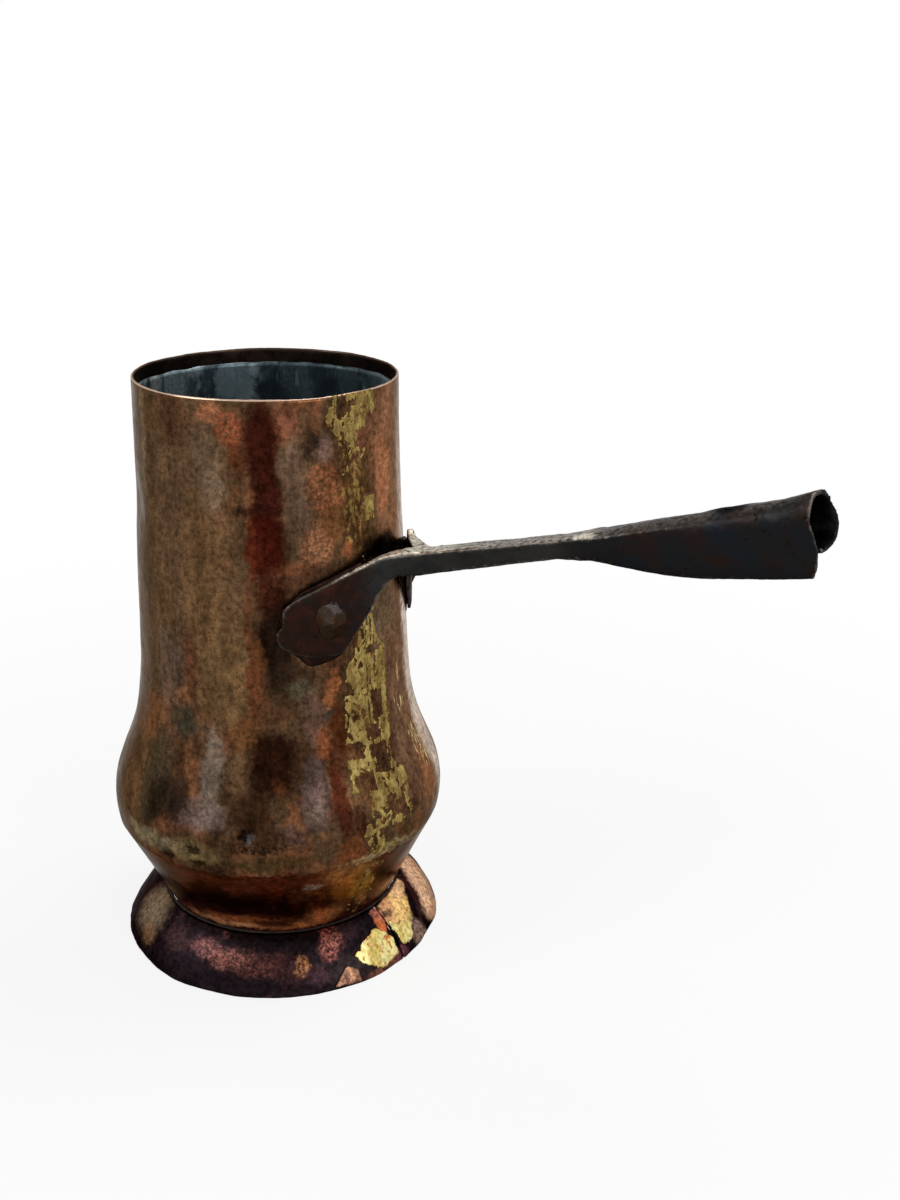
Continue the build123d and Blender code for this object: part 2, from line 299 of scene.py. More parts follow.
def mark_edges(piece: Piece, reach: int = 2, bare: Field | None = None) -> None:
    """Writes how far each vertex stands out from its neighbours to the attribute "standing".

    Args:
        piece: The piece whose ridges and corners are marked.
        reach: How many times the mark is spread to the neighbours.
        bare: Gives the part of the mark that each point keeps.
    """
    points, normals = vertices(piece), vertex_normals(piece)
    first, second = rows_of(piece.data.edges, "vertices", 2, np.int32).T
    count = np.bincount(first, minlength=len(points)) + np.bincount(second, minlength=len(points))
    count = np.maximum(count, 1)
    mean = np.zeros_like(points)
    np.add.at(mean, first, points[second])
    np.add.at(mean, second, points[first])
    standing = np.einsum("ij,ij->i", points - mean / count[:, None], normals)
    for _ in range(reach):
        spread = np.bincount(first, standing[second], len(points))
        spread += np.bincount(second, standing[first], len(points))
        standing = (standing + spread / count) / 2
    if bare is not None:
        standing *= bare(points)
    write_attribute(piece, "standing", standing)


def publish(piece: Piece, slot: Slot, material: Material, *nodes: str) -> None:
    """Dresses a piece and hands it to the frame.

    Args:
        piece: The finished piece.
        slot: The material slot that it takes its finish from.
        material: Its material.
        nodes: CAD nodes that it stands for.
    """
    piece.data.materials.clear()
    piece.data.materials.append(material)
    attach(piece, BODY)
    if nodes:
        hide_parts(*nodes)
    log.info("%s: %d faces, %s", piece.name, len(piece.data.polygons), slot.value)


# ---- round surfaces and their dents
class TurnedSurface:
    """A round surface of the frame, read as radius against height."""

    def __init__(self, node: Piece, low: float, high: float, azimuth: float, step: float = 0.5) -> None:
        """Reads the surface by rays towards the axis.

        Args:
            node: The frame's node.
            low: Lowest height.
            high: Highest height.
            azimuth: Where the rays come in, clear of seams and holes.
            step: Height between rays.
        """
        corners = [vertex.co for vertex in node.data.vertices]
        tree = BVHTree.FromPolygons(corners, [polygon.vertices for polygon in node.data.polygons])
        out = Vector(polar(azimuth, 1.0, 0.0))
        heights, radii = [], []
        for height in np.arange(low + step / 2, high, step):
            start = out * 200 * MM + Vector((0, 0, height * MM))
            hit = tree.ray_cast(start, -out)[0]
            if hit is not None:
                heights.append(float(height))
                radii.append(math.hypot(hit.x, hit.y) / MM)
        self.heights = np.array(heights)
        self.radii = np.array(radii)

    def radius(self, height: Array) -> Array:
        """The surface's radius at each height."""
        return np.interp(height, self.heights, self.radii)


@dataclass(frozen=True)
class Dent:
    """A dent pressed into a round surface; a negative depth is a bulge."""

    azimuth: float
    height: float
    width: float
    tall: float
    depth: float

    def field(self, azimuth: Array, height: Array, radius: Array) -> Array:
        """How far the dent moves the surface outwards at each place."""
        turn = (azimuth - self.azimuth + 180) % 360 - 180
        across = np.radians(turn) * radius / self.width
        along = (height - self.height) / self.tall
        return -self.depth * np.exp(-(across**2) - along**2)


# ---- the wall
@dataclass
class PotWall:
    """The hammered copper wall, its tin lining and the brass of its seam."""

    surface: TurnedSurface
    widest: float
    foot: float = 13.0
    top: float = 215.0
    sheet: float = 1.0
    lining_gap: float = 0.1
    lining: float = 0.2
    bare_rim: float = 5.0
    floor: float = 17.2
    columns: int = 420
    row_step: float = 0.9
    dents: tuple[Dent, ...] = (
        Dent(66.5, 66, 3.2, 2.8, 1.3), Dent(85.7, 58.5, 2.6, 2, 0.6), Dent(83.7, 53.4, 3, 1.6, 0.6),
        Dent(66, 67, 9, 7, 0.7), Dent(96, 53.5, 4, 3, 0.7), Dent(90, 56, 8, 5, -0.3),
        Dent(41, 192, 5, 7, 0.5), Dent(30, 84, 8, 12, 0.6),
        Dent(44, 66, 9, 12, -0.4), Dent(76, 74, 7, 16, -0.4),
        Dent(88, 78, 6, 18, 0.5), Dent(120, 120, 14, 30, 0.6),
        Dent(131, 172, 8, 9, 0.9), Dent(-12, 150, 9, 14, 0.5),
        Dent(70, 178, 10, 18, 0.4), Dent(57, 160, 5, 34, 0.35),
        Dent(210, 70, 12, 14, 0.9), Dent(265, 110, 16, 22, 0.7),
        Dent(165, 60, 10, 8, 0.8), Dent(300, 190, 10, 12, 0.7),
    )

    def relief(self, azimuth: Array, height: Array) -> Array:
        """How far hammering and dents move the wall outwards.

        Args:
            azimuth: Angles in degrees.
            height: Heights, of the same shape.

        Returns:
            Distances, of the same shape.
        """
        radius = self.surface.radius(height)
        points = polar(azimuth, ARC_RADIUS, height)
        moved = 0.34 * unevenness(points, 17.0, 3.7, (1, 1, 2.6))
        moved += 0.13 * unevenness(points, 6.5, 11.3, (1, 1, 1.7))
        moved += 0.05 * unevenness(points, 2.6, 23.1)
        for dent in self.dents:
            moved += dent.field(azimuth, height, radius)
        near_mouth = np.clip((height - (self.top - 14)) / 14, 0, 1)
        near_neck = np.clip((24 - height) / 8, 0, 1)
        moved *= (1 - 0.6 * near_mouth) * (1 - near_neck)
        return moved - 0.1

    def radius_at(self, azimuth: Array, height: Array) -> Array:
        """The dented wall's outer radius, never wider than the frame."""
        return np.minimum(self.surface.radius(height) + self.relief(azimuth, height), self.widest)

    def place(self, azimuth: Array, height: Array, lift: float) -> Array:
        """Points on the dented wall, moved outwards by lift."""
        return polar(azimuth, np.minimum(self.radius_at(azimuth, height) + lift, self.widest), height)

    def build_wall(self) -> Piece:
        """Makes the wall with its rim and its inner side."""
        azimuth = np.arange(self.columns) * 360 / self.columns
        rise = np.arange(self.foot, self.top - 0.6, self.row_step)
        lip = np.arange(self.top - 0.6, self.top - 7, -1.0)
        inside = np.concatenate([lip, np.arange(self.top - 10, self.foot, -4.0)])
        rim_depth = np.array([0.06, 0.3, 0.7, 0.94]) * self.sheet
        rim_drop = np.array([0.18, 0.02, 0.02, 0.2])
        rows = [self.row(azimuth, height, 0.0) for height in rise]
        rows += [self.row(azimuth, self.top - drop, depth) for depth, drop in zip(rim_depth, rim_drop)]
        rows += [self.row(azimuth, height, self.sheet) for height in inside]
        rows.append(self.row(azimuth, self.foot, self.sheet))
        points = np.stack(rows)
        faces = grid_faces(len(rows), self.columns, True, True)
        return mesh_object("pot_wall", points, [face[::-1] for face in faces])

    def row(self, azimuth: Array, height: float, depth: float) -> Array:
        """One ring of the wall at a depth below its outer face, wavy near the rim."""
        heights = np.full_like(azimuth, height)
        ring = polar(azimuth, self.radius_at(azimuth, heights) - depth, heights)
        share = np.clip((height - (self.top - 12)) / 12, 0, 1)
        rim = polar(azimuth, 46.0, 0.0)
        ring[:, 2] -= share * (0.28 + 0.25 * unevenness(rim, 16.0, 5.1) + 0.1 * unevenness(rim, 2.2, 8.4))
        return ring

    def build_lining(self) -> Piece:
        """Makes the tinned inside, with its worn upper edge and its floor."""
        azimuth = np.arange(0, 360, 1.5)
        depth = self.sheet + self.lining_gap + self.lining
        edge = self.top - self.bare_rim
        lip = unevenness(polar(azimuth, 45.0, 0.0), 7.0, 2.9) * 0.6 - 0.35
        below_edge = np.arange(edge - 2, self.floor + 1, -2.0)
        heights = np.concatenate([[edge, edge], below_edge, [self.floor + 0.5]])
        depths = np.full(len(heights), depth)
        depths[0] = self.sheet + 0.02
        rows = []
        for number, (height, below) in enumerate(zip(heights, depths)):
            level = height + (lip if number < 2 else lip * 0)
            rows.append(polar(azimuth, self.radius_at(azimuth, level) - below, level))
        last = rows[-1]
        for share in (0.99, 0.96, 0.85, 0.7, 0.5, 0.3, 0.12, 0.0):
            ring = last * (share, share, 1)
            ring[:, 2] = self.floor + 0.3 + 0.25 * unevenness(ring, 12.0, 6.6)
            if share > 0.9:
                ring[:, 2] += 0.3 * (share - 0.9) * 10
            rows.append(ring)
        points = np.stack(rows)
        return mesh_object("tinned_inside", points, grid_faces(len(rows), len(azimuth), False, True))


# ---- thin films with ragged edges
@dataclass(frozen=True)
class Film:
    """A thin skin of metal on a round surface, kept where a mask is above zero."""

    name: str
    azimuths: tuple[float, float]
    heights: tuple[float, float]
    radius: float
    thickness: float
    step: float = 0.36
    sunk: float = 0.12

    def build(
        self,
        place: Callable[[Array, Array, float], Array],
        mask: Callable[[Array, Array], Array],
    ) -> Piece:
        """Cuts the film out of a fine grid and closes its edge down to the surface.

        Args:
            place: Gives points at azimuths and heights, moved outwards by a lift.
            mask: Gives the film's mask at azimuths and heights.

        Returns:
            The film's object.
        """
        turn_step = math.degrees(self.step / self.radius)
        turns = np.arange(self.azimuths[0], self.azimuths[1], turn_step)
        levels = np.arange(self.heights[0], self.heights[1], self.step)
        height, azimuth = np.meshgrid(levels, turns, indexing="ij")
        value = mask(azimuth, height)
        slope_height, slope_turn = np.gradient(value)
        steep = slope_height**2 + slope_turn**2 + 1e-9
        shift = -value / steep
        reach = np.abs(shift) * np.sqrt(steep)
        near = (reach < 0.6)[..., None]
        move = np.where(near, np.stack([slope_height, slope_turn], -1) * shift[..., None], 0)
        height = height + move[..., 0] * self.step
        azimuth = azimuth + move[..., 1] * turn_step
        middle = (value[:-1, :-1] + value[1:, :-1] + value[:-1, 1:] + value[1:, 1:]) / 4
        rows, columns = value.shape
        faces = np.array(grid_faces(rows, columns, False, False))[(middle > 0).ravel()]
        top = place(azimuth, height, self.thickness).reshape(-1, 3)
        low = place(azimuth, height, -self.sunk).reshape(-1, 3)
        edges = np.concatenate([faces[:, [0, 1]], faces[:, [1, 2]], faces[:, [2, 3]], faces[:, [3, 0]]])
        key = np.sort(edges, axis=1)
        _, first, count = np.unique(key, axis=0, return_index=True, return_counts=True)
        border = edges[first[count == 1]]
        total = rows * columns
        sides = np.stack([border[:, 1], border[:, 0], border[:, 0] + total, border[:, 1] + total], -1)
        corners = np.concatenate([top, low])
        every = np.concatenate([faces, sides])
        used, packed = np.unique(every, return_inverse=True)
        return mesh_object(self.name, corners[used], packed.reshape(-1, 4)[:, ::-1].tolist())


@dataclass(frozen=True)
class SeamBrass:
    """Brazing brass left along the wall's cramped seam, with the seam's copper tabs between."""

    azimuths: tuple[float, float] = (0.0, 34.0)
    heights: tuple[float, float] = (18.5, 214.75)
    thickness: float = 0.09
    joint_half_width: float = 0.22
    joint_top: float = 132.0
    # height and azimuth of the dark joint between the seam's two edges
    joint: Line = ((57, 17.1), (72, 15.2), (80, 15.3), (127, 14.9))
    turn_length: float = 0.95
    # height, lower azimuth, upper azimuth, share covered
    band: tuple[Box, ...] = (
        (17.5, 16, 27, 0.22), (30, 15, 27, 0.42), (38, 18, 26, 0.36), (48, 15, 24, 0.3),
        (52, 14, 24, 0.62), (56, 12, 25, 0.6), (60, 6.5, 28, 0.66), (66, 5, 27, 0.7),
        (73, 4, 26, 0.8), (78, 3, 29.5, 0.82), (83, 8, 28, 0.76), (87, 6.5, 30, 0.78),
        (92, 4.8, 28, 0.74), (98, 3, 27.5, 0.8), (106, 4, 27.4, 0.86), (113, 3.3, 26.5, 0.9),
        (119, 3.5, 26, 0.9), (124, 3.6, 22.5, 0.86), (130, 9, 19, 0.8), (140, 10, 18, 0.3),
        (158, 12, 22, 0.06), (171, 8, 23, 0.08), (180, 12, 23, 0.06), (190, 14, 24, 0.14),
        (195, 12, 24, 0.4), (201, 10.5, 27, 0.74), (208, 4.5, 31, 0.82), (215, 6, 27.5, 0.9),
    )
    # gaps where a copper tab shows: azimuth, height, half turn, half height
    windows: tuple[Box, ...] = (
        (10.3, 103.6, 3.2, 5.2), (13.4, 94.1, 2.6, 2.6), (25.4, 89.6, 4.6, 2.7),
        (12.6, 84.6, 3.4, 5.2), (22.6, 78.2, 3.8, 3), (27.4, 70.6, 4.4, 5.6), (13.2, 70.4, 1.9, 1.1),
        (11.2, 66.5, 3.8, 2.8), (11.5, 57.6, 4.4, 3.4), (19, 61, 1.8, 1),
        (25.6, 112.6, 2.2, 2.6), (11.5, 124.6, 3.4, 1.3), (23.6, 211, 2.4, 3.4),
        (13, 199, 3, 3), (9, 203.5, 1.6, 3.4),
    )
    blob: Box = (9.8, 174.6, 2.7, 4.2)

    def build(self, wall: PotWall) -> Piece:
        """Cuts the brass out of a film over the wall."""
        film = Film("seam_brass", self.azimuths, self.heights, ARC_RADIUS, self.thickness)
        return film.build(wall.place, self.mask)

    def outside(self, box: Box, azimuth: Array, height: Array) -> Array:
        """Distance outside a box, below zero inside it."""
        middle, level, half_turn, half_height = box
        across = (np.abs(azimuth - middle) - half_turn) * self.turn_length
        return np.maximum(across, np.abs(height - level) - half_height)

    def mask(self, azimuth: Array, height: Array) -> Array:
        """The brass film's mask: above zero where brass shows."""
        levels, low, high, share = np.array(self.band).T
        lower = np.interp(height, levels, low)
        upper = np.interp(height, levels, high)
        cover = np.interp(height, levels, share)
        flat = np.stack([azimuth * self.turn_length, height, azimuth * 0], -1)
        ragged = unevenness(flat, 3.4, 31.0) + 0.6 * unevenness(flat, 1.4, 37.0)
        ragged += 0.35 * unevenness(flat, 0.7, 39.0)
        grain = unevenness(flat, 2.9, 53.0, (1, 1.5, 1)) + unevenness(flat, 1.5, 59.0, (1, 1.3, 1))
        grain += 0.5 * unevenness(flat, 0.8, 61.0)
        value = np.minimum(azimuth - lower, upper - azimuth) * self.turn_length + 1.3 * ragged
        for window in self.windows:
            value = np.minimum(value, self.outside(window, azimuth, height) + 0.9 * ragged)
        value = np.minimum(value, (cover - 0.58) * 2.3 + 1.5 * grain)
        joint_height, joint_azimuth = np.array(self.joint).T
        joint = np.abs(azimuth - np.interp(height, joint_height, joint_azimuth)) * self.turn_length
        seam = joint - self.joint_half_width + 0.25 * ragged
        value = np.where(height < self.joint_top, np.minimum(value, seam), value)
        return np.maximum(value, 0.7 * ragged - self.outside(self.blob, azimuth, height))


# ---- foot
@dataclass
class Foot:
    """The flared foot with its slit seam, brass patches, copper clip and solder."""

    surface: TurnedSurface
    widest: float
    height: float = 17.6
    sheet: float = 1.5
    slit_azimuth: float = 8.0
    slit_width: float = 0.9
    slit_radius: float = 52.0
    hem_radius: float = 60.0
    neck_radius: float = 46.0
    lap: float = 1.8
    columns: int = 420
    dents: tuple[Dent, ...] = (
        Dent(60, 3, 16, 5, 0.5), Dent(100, 5, 12, 7, -0.9),
        Dent(118, 12, 12, 6, 0.6), Dent(38, 8, 7, 6, 0.4), Dent(-10, 8, 5, 8, 0.8),
        Dent(-22, 4, 6, 6, -0.9), Dent(14, 1, 6, 5, 0.5), Dent(210, 6, 14, 6, 0.8),
        Dent(280, 8, 12, 6, 0.7),
    )
    # azimuth and lift of the resting edge
    edge_lift: Line = (
        (-180, 0.6), (-120, 0), (-70, 0.5), (-30, 1.1), (-12, 0.9), (4, 0.4), (12, 0), (45, 0),
        (75, 0.1), (105, 0.6), (130, 1), (180, 0.6),
    )

    def relief(self, azimuth: Array, height: Array) -> Array:
        """How far hammering and dents move the skirt outwards."""
        radius = self.surface.radius(height)
        points = polar(azimuth, radius, height)
        moved = 0.45 * unevenness(points, 15.0, 71.0) + 0.22 * unevenness(points, 5.0, 73.0)
        moved += 0.07 * unevenness(points, 1.8, 79.0)
        for dent in self.dents:
            moved += dent.field(azimuth, height, radius)
        return moved * np.clip((self.height + 1 - height) / 6, 0, 1)

    def place(self, azimuth: Array, height: Array, lift: float) -> Array:
        """Points on the dented skirt, moved outwards and up by lift."""
        lift_azimuth, lift_height = np.array(self.edge_lift).T
        turn = (np.asarray(azimuth) + 180) % 360 - 180
        raised = np.interp(turn, lift_azimuth, lift_height) * np.clip(1 - height / self.height, 0, 1)
        radius = self.surface.radius(height) + self.relief(azimuth, height) + 0.7 * lift
        return polar(azimuth, np.minimum(radius, self.widest), np.maximum(height + raised + 0.7 * lift, 0.0))

    def build_skirt(self) -> Piece:
        """Makes the skirt as a sheet that stops at both lips of its slit."""
        half = math.degrees(self.slit_width / 2 / self.slit_radius)
        azimuth = np.linspace(self.slit_azimuth + half, self.slit_azimuth + 360 - half, self.columns)
        heights = np.concatenate([[0.0, 0.12, 0.4], np.arange(0.9, self.height - 0.3, 0.7), [self.height]])
        level, turn = np.meshgrid(heights, azimuth, indexing="ij")
        lip = np.minimum(turn - azimuth[0], azimuth[-1] - turn)
        torn = 0.5 * np.exp(-lip / 1.5) * unevenness(polar(turn, ARC_RADIUS, level), 2.0, 83.0)
        outer = self.place(turn + torn, level, 0.0)
        outer[0] -= (outer[0] * (1, 1, 0)) * (0.35 / self.hem_radius)
        # the lip is beaten thin and laid against the wall
        lapped = (np.clip((outer[..., 2] - self.height + self.lap) / self.lap, 0, 1) ** 2)[..., None]
        outer = outer * (1 - 1.1 * lapped / self.neck_radius * (1, 1, 0))
        inner = outer * (1 - self.sheet / self.hem_radius * (1 - 0.8 * lapped) * (1, 1, 0))
        inner[..., 2] = np.clip(inner[..., 2] - 0.25, 0.0, None)
        inner[0, :, 2] = outer[0, :, 2]
        return slab("foot_skirt_sheet", outer, inner)


@dataclass(frozen=True)
class FootPatch:
    """A ragged piece of sheet on the foot's seam, outlined by azimuths and heights."""

    name: str
    outline: Line
    slot: Slot
    thickness: float
    ragged: float
    seed: float
    nodes: tuple[str, ...] = ()
    margin: float = 2.0
    radius: float = 54.0
    step: float = 0.3
    sunk: float = 0.3

    def build(self, foot: Foot) -> Piece:
        """Cuts the patch out of a film over the skirt."""
        turns, heights = np.array(self.outline).T
        span = (turns.min() - self.margin, turns.max() + self.margin)
        rise = (max(heights.min() - self.margin, 0.1), heights.max() + self.margin)
        film = Film(self.name, span, rise, self.radius, self.thickness, self.step, self.sunk)
        return film.build(foot.place, self.mask)

    def mask(self, azimuth: Array, height: Array) -> Array:
        """Distance inside the outline, with a ragged edge; below zero outside.

        Args:
            azimuth: Angles of the places.
            height: Heights of the places.

        Returns:
            One value for each place.
        """
        corners = np.array(self.outline)
        inside = np.zeros(azimuth.shape, bool)
        nearest = np.full(azimuth.shape, np.inf)
        for (x0, y0), (x1, y1) in zip(corners, np.roll(corners, -1, axis=0)):
            wide, tall = x1 - x0, y1 - y0
            crosses = (y0 > height) != (y1 > height)
            inside ^= crosses & (azimuth < x0 + (height - y0) * wide / (tall or 1e-9))
            share = ((azimuth - x0) * wide + (height - y0) * tall) / (wide**2 + tall**2)
            share = np.clip(share, 0, 1)
            nearest = np.minimum(nearest, np.hypot(azimuth - x0 - share * wide, height - y0 - share * tall))
        flat = np.stack([azimuth, height, azimuth * 0], -1)
        edge = unevenness(flat, 2.4, self.seed) + 0.5 * unevenness(flat, 0.9, self.seed + 5)
        return np.where(inside, nearest, -nearest) + self.ragged * edge


FOOT_PATCHES = (
    FootPatch(
        "foot_brass_large",
        ((28.4, 8.6), (22.4, 11.8), (15.6, 13.6), (11.6, 10.9), (9.8, 8.4), (9.7, 3), (17, 1.2),
         (22, 3.4), (25.8, 6)),
        Slot.BRASS, 0.35, 0.8, 160.0, ("foot_seam_braze",),
    ),
    FootPatch(
        "foot_brass_small",
        ((7.2, 13.2), (4, 10.9), (-2.2, 9.4), (-1.4, 5), (1.9, 3.6), (5.2, 4.2), (6.6, 7), (7.2, 9.8)),
        Slot.BRASS, 0.4, 0.8, 167.0,
    ),
    FootPatch(
        "foot_copper_clip", ((38.0, 0.9), (32.4, 6.6), (28.6, 4.4), (28.4, 0.5)),
        Slot.FOOT, 0.7, 0.35, 174.0, ("foot_patch",),
    ),
)


@dataclass
class NeckSolder:
    """The lumpy ring of solder between wall and foot."""

    wall: PotWall
    height: float = 17.7
    size: float = 0.34
    columns: int = 300

    def build(self) -> Piece:
        """Makes the ring of solder."""
        azimuth = np.arange(self.columns) * 360 / self.columns
        around = np.radians(np.arange(0, 360, 36))
        rows = []
        for angle in around:
            base = polar(azimuth, 44.0, self.height)
            swell = self.size * (1 + 0.35 * unevenness(base, 3.5, 91.0) + 0.25 * unevenness(base, 9.0, 93.0))
            height = self.height + 0.2 + swell * math.sin(angle)
            wall = self.wall.surface.radius(self.height + 0.5)
            rows.append(polar(azimuth, wall + 0.35 + 1.5 * swell * math.cos(angle), height))
        faces = grid_faces(len(rows), self.columns, True, True)
        return mesh_object("neck_solder_ring", np.stack(rows), faces)


# ---- lugs, pads and rivets
@dataclass(frozen=True)
class LugShape:
    """The lug's outline on the wall, as distances away from the handle and heights."""

    azimuth: float = 33.5
    rivet_height: float = 140.5
    seat_radius: float = 49.6
    thickness: float = 2.5
    leave: float = 25.0
    crotch_x: float = 57.6
    root_x: float = 63.1
    shank_width: float = 9.5
    toe: float = 17.9
    top: Line = (
        (17.9, 137.4), (17.5, 138.6), (16.5, 139.8), (16.8, 143.6), (15.1, 146.6), (12.2, 148.8),
        (8.8, 150.5), (1.8, 153.1), (-3.3, 154.7), (-8.3, 155.9), (-13.1, 157.4), (-17.8, 159),
        (-20.7, 159.8), (-24.3, 160.2), (-29.7, 160.6), (-40, 160.6),
    )
    low: Line = (
        (17.9, 134.4), (17.4, 132.5), (12.3, 129.3), (9.8, 128.5), (6, 127.5), (2.4, 127.3), (-1.4, 127.1),
        (-4.4, 127.3), (-10.6, 134.9), (-15, 140.4), (-17.7, 146), (-20.2, 148.8), (-22.4, 151),
        (-25, 151.9), (-40, 152),
    )
    pad_top: Line = (
        (17.4, 136.4), (15.9, 144.8), (8.8, 150.9), (1.8, 153.5), (-8.3, 156.2), (-13.5, 157.2),
    )
    pad_low: Line = (
        (17.4, 133.6), (13.4, 129.7), (11, 127.6), (8.5, 124.9), (6.4, 123.7), (3.2, 124), (-0.6, 124.7),
        (-5.5, 126.4), (-9.5, 133), (-13.5, 139),
    )

    def away(self, points: Array, side: Side) -> Array:
        """Distance of each point from the rivet's axis, away from the handle."""
        turn = math.radians(self.azimuth)
        return side.value * points[..., 1] * math.cos(turn) - points[..., 0] * math.sin(turn)

    def bounds(self, away: Array, line: Sequence[tuple[float, float]]) -> Array:
        """The outline's height at each distance from the rivet's axis."""
        reach, height = np.array(line)[::-1].T
        return np.interp(away, reach, height)


def smooth_line(knots: Array, steps: int) -> Array:
    """Points on a smooth curve through knots.

    Args:
        knots: The knots, one row each.
        steps: Points for each stretch between knots.

    Returns:
        The curve's points.
    """
    padded = np.concatenate([2 * knots[:1] - knots[1:2], knots, 2 * knots[-1:] - knots[-2:-1]])
    share = np.linspace(0, 1, steps, endpoint=False)[:, None]
    pieces = []
    for before, start, end, after in zip(padded, padded[1:], padded[2:], padded[3:]):
        bend = 2 * before - 5 * start + 4 * end - after
        rest = 3 * start - before - 3 * end + after
        pieces.append(start + 0.5 * ((end - before) * share + bend * share**2 + rest * share**3))
    return np.concatenate([*pieces, knots[-1:]])


def bezier(start: Array, pull: Array, end: Array, share: Array) -> Array:
    """Points on a quadratic curve."""
    share = share[:, None]
    return (1 - share) ** 2 * start + 2 * share * (1 - share) * pull + share**2 * end


@dataclass
class Lug:
    """One lug: the leaf on the wall and the arm that runs from it to the shank."""

    shape: LugShape
    side: Side
    rows: int = 30

    def plan(self, radius: float, end: tuple[float, float]) -> Array:
        """The plan line along the wall and out to the shank's root.

        Args:
            radius: The line's radius about the pot's axis.
            end: Where it ends, with Y as on the left side.

        Returns:
            Points from the toe to the root, on the lug's own side.
        """
        shape = self.shape
        toe = shape.azimuth + math.degrees(math.asin(shape.toe / shape.seat_radius))
        turn = np.radians(np.linspace(toe, shape.leave, 70))
        arc = np.stack([radius * np.cos(turn), -radius * np.sin(turn)], -1)
        leave = math.radians(shape.leave)
        along = np.array([math.sin(leave), math.cos(leave)])
        finish = np.array(end, float)
        gap = np.linalg.norm(finish - arc[-1])
        bend = bezier(arc[-1], arc[-1] + along * gap * 0.5, finish, np.linspace(0, 1, 44))[1:]
        line = np.concatenate([arc, bend])
        line[:, 1] *= -self.side.value
        return line

    def build(self) -> Piece:
        """Makes the leaf and arm as one plate that thickens towards the shank."""
        shape = self.shape
        corner = (shape.root_x + 1.5, -shape.shank_width / 2 + 0.1)
        outer = self.plan(shape.seat_radius + shape.thickness, corner)
        inner = self.plan(shape.seat_radius + 0.02, (shape.crotch_x + 1.5, 1.0))
        middle = (outer + inner) / 2
        away = self.shape.away(middle, self.side)
        high = shape.bounds(away, shape.top)
        low = shape.bounds(away, shape.low)
        share = (1 - np.cos(np.linspace(0, math.pi, self.rows))) / 2
        level = low[:, None] + (high - low)[:, None] * share[None, :]
        edge = np.abs(2 * share - 1)[None, :] ** 5
        points = np.concatenate([middle, level.mean(1)[:, None]], axis=1)
        worn = 0.22 + 0.12 * unevenness(points, 6.0, 101.0)
        toe = np.clip(1 - (shape.toe - away) / 3.5, 0, 1)[:, None]
        thin = np.clip(worn[:, None] * edge + 0.35 * toe, 0, 0.75)
        face = outer[:, None, :] + (inner - outer)[:, None, :] * thin[..., None]
        back = np.repeat(inner[:, None, :], self.rows, axis=1)
        outer_grid = np.concatenate([face, level[..., None]], -1)
        inner_grid = np.concatenate([back, level[..., None]], -1)
        return slab("lug", outer_grid, inner_grid)

    def build_pad(self, wall: PotWall) -> Piece:
        """Makes the thin iron pad between the leaf and the wall."""
        shape = self.shape
        away = np.linspace(shape.pad_top[0][0], shape.pad_top[-1][0], 64)
        azimuth = shape.azimuth + np.degrees(np.arcsin(away / shape.seat_radius))
        high = shape.bounds(away, shape.pad_top)
        low = shape.bounds(away, shape.pad_low)
        share = np.linspace(0, 1, 48)
        level = low[:, None] + (high - low)[:, None] * share
        angle = np.repeat(azimuth[:, None], len(share), axis=1)
        turned = angle * -self.side.value
        wave = unevenness(polar(angle, 49.0, level), 4.0, 107.0)
        radius = np.full_like(level, shape.seat_radius) + 0.12 * wave - 0.1
        edge = np.minimum(share, 1 - share) * 48
        radius -= 0.35 * np.clip(1 - edge / 2, 0, 1)
        seat = wall.radius_at(turned, level) - 0.15
        outer = polar(turned, radius, level)
        inner = polar(turned, np.minimum(seat, radius - 0.3), level)
        return slab(f"{self.side.name.lower()}_pad", outer, inner)


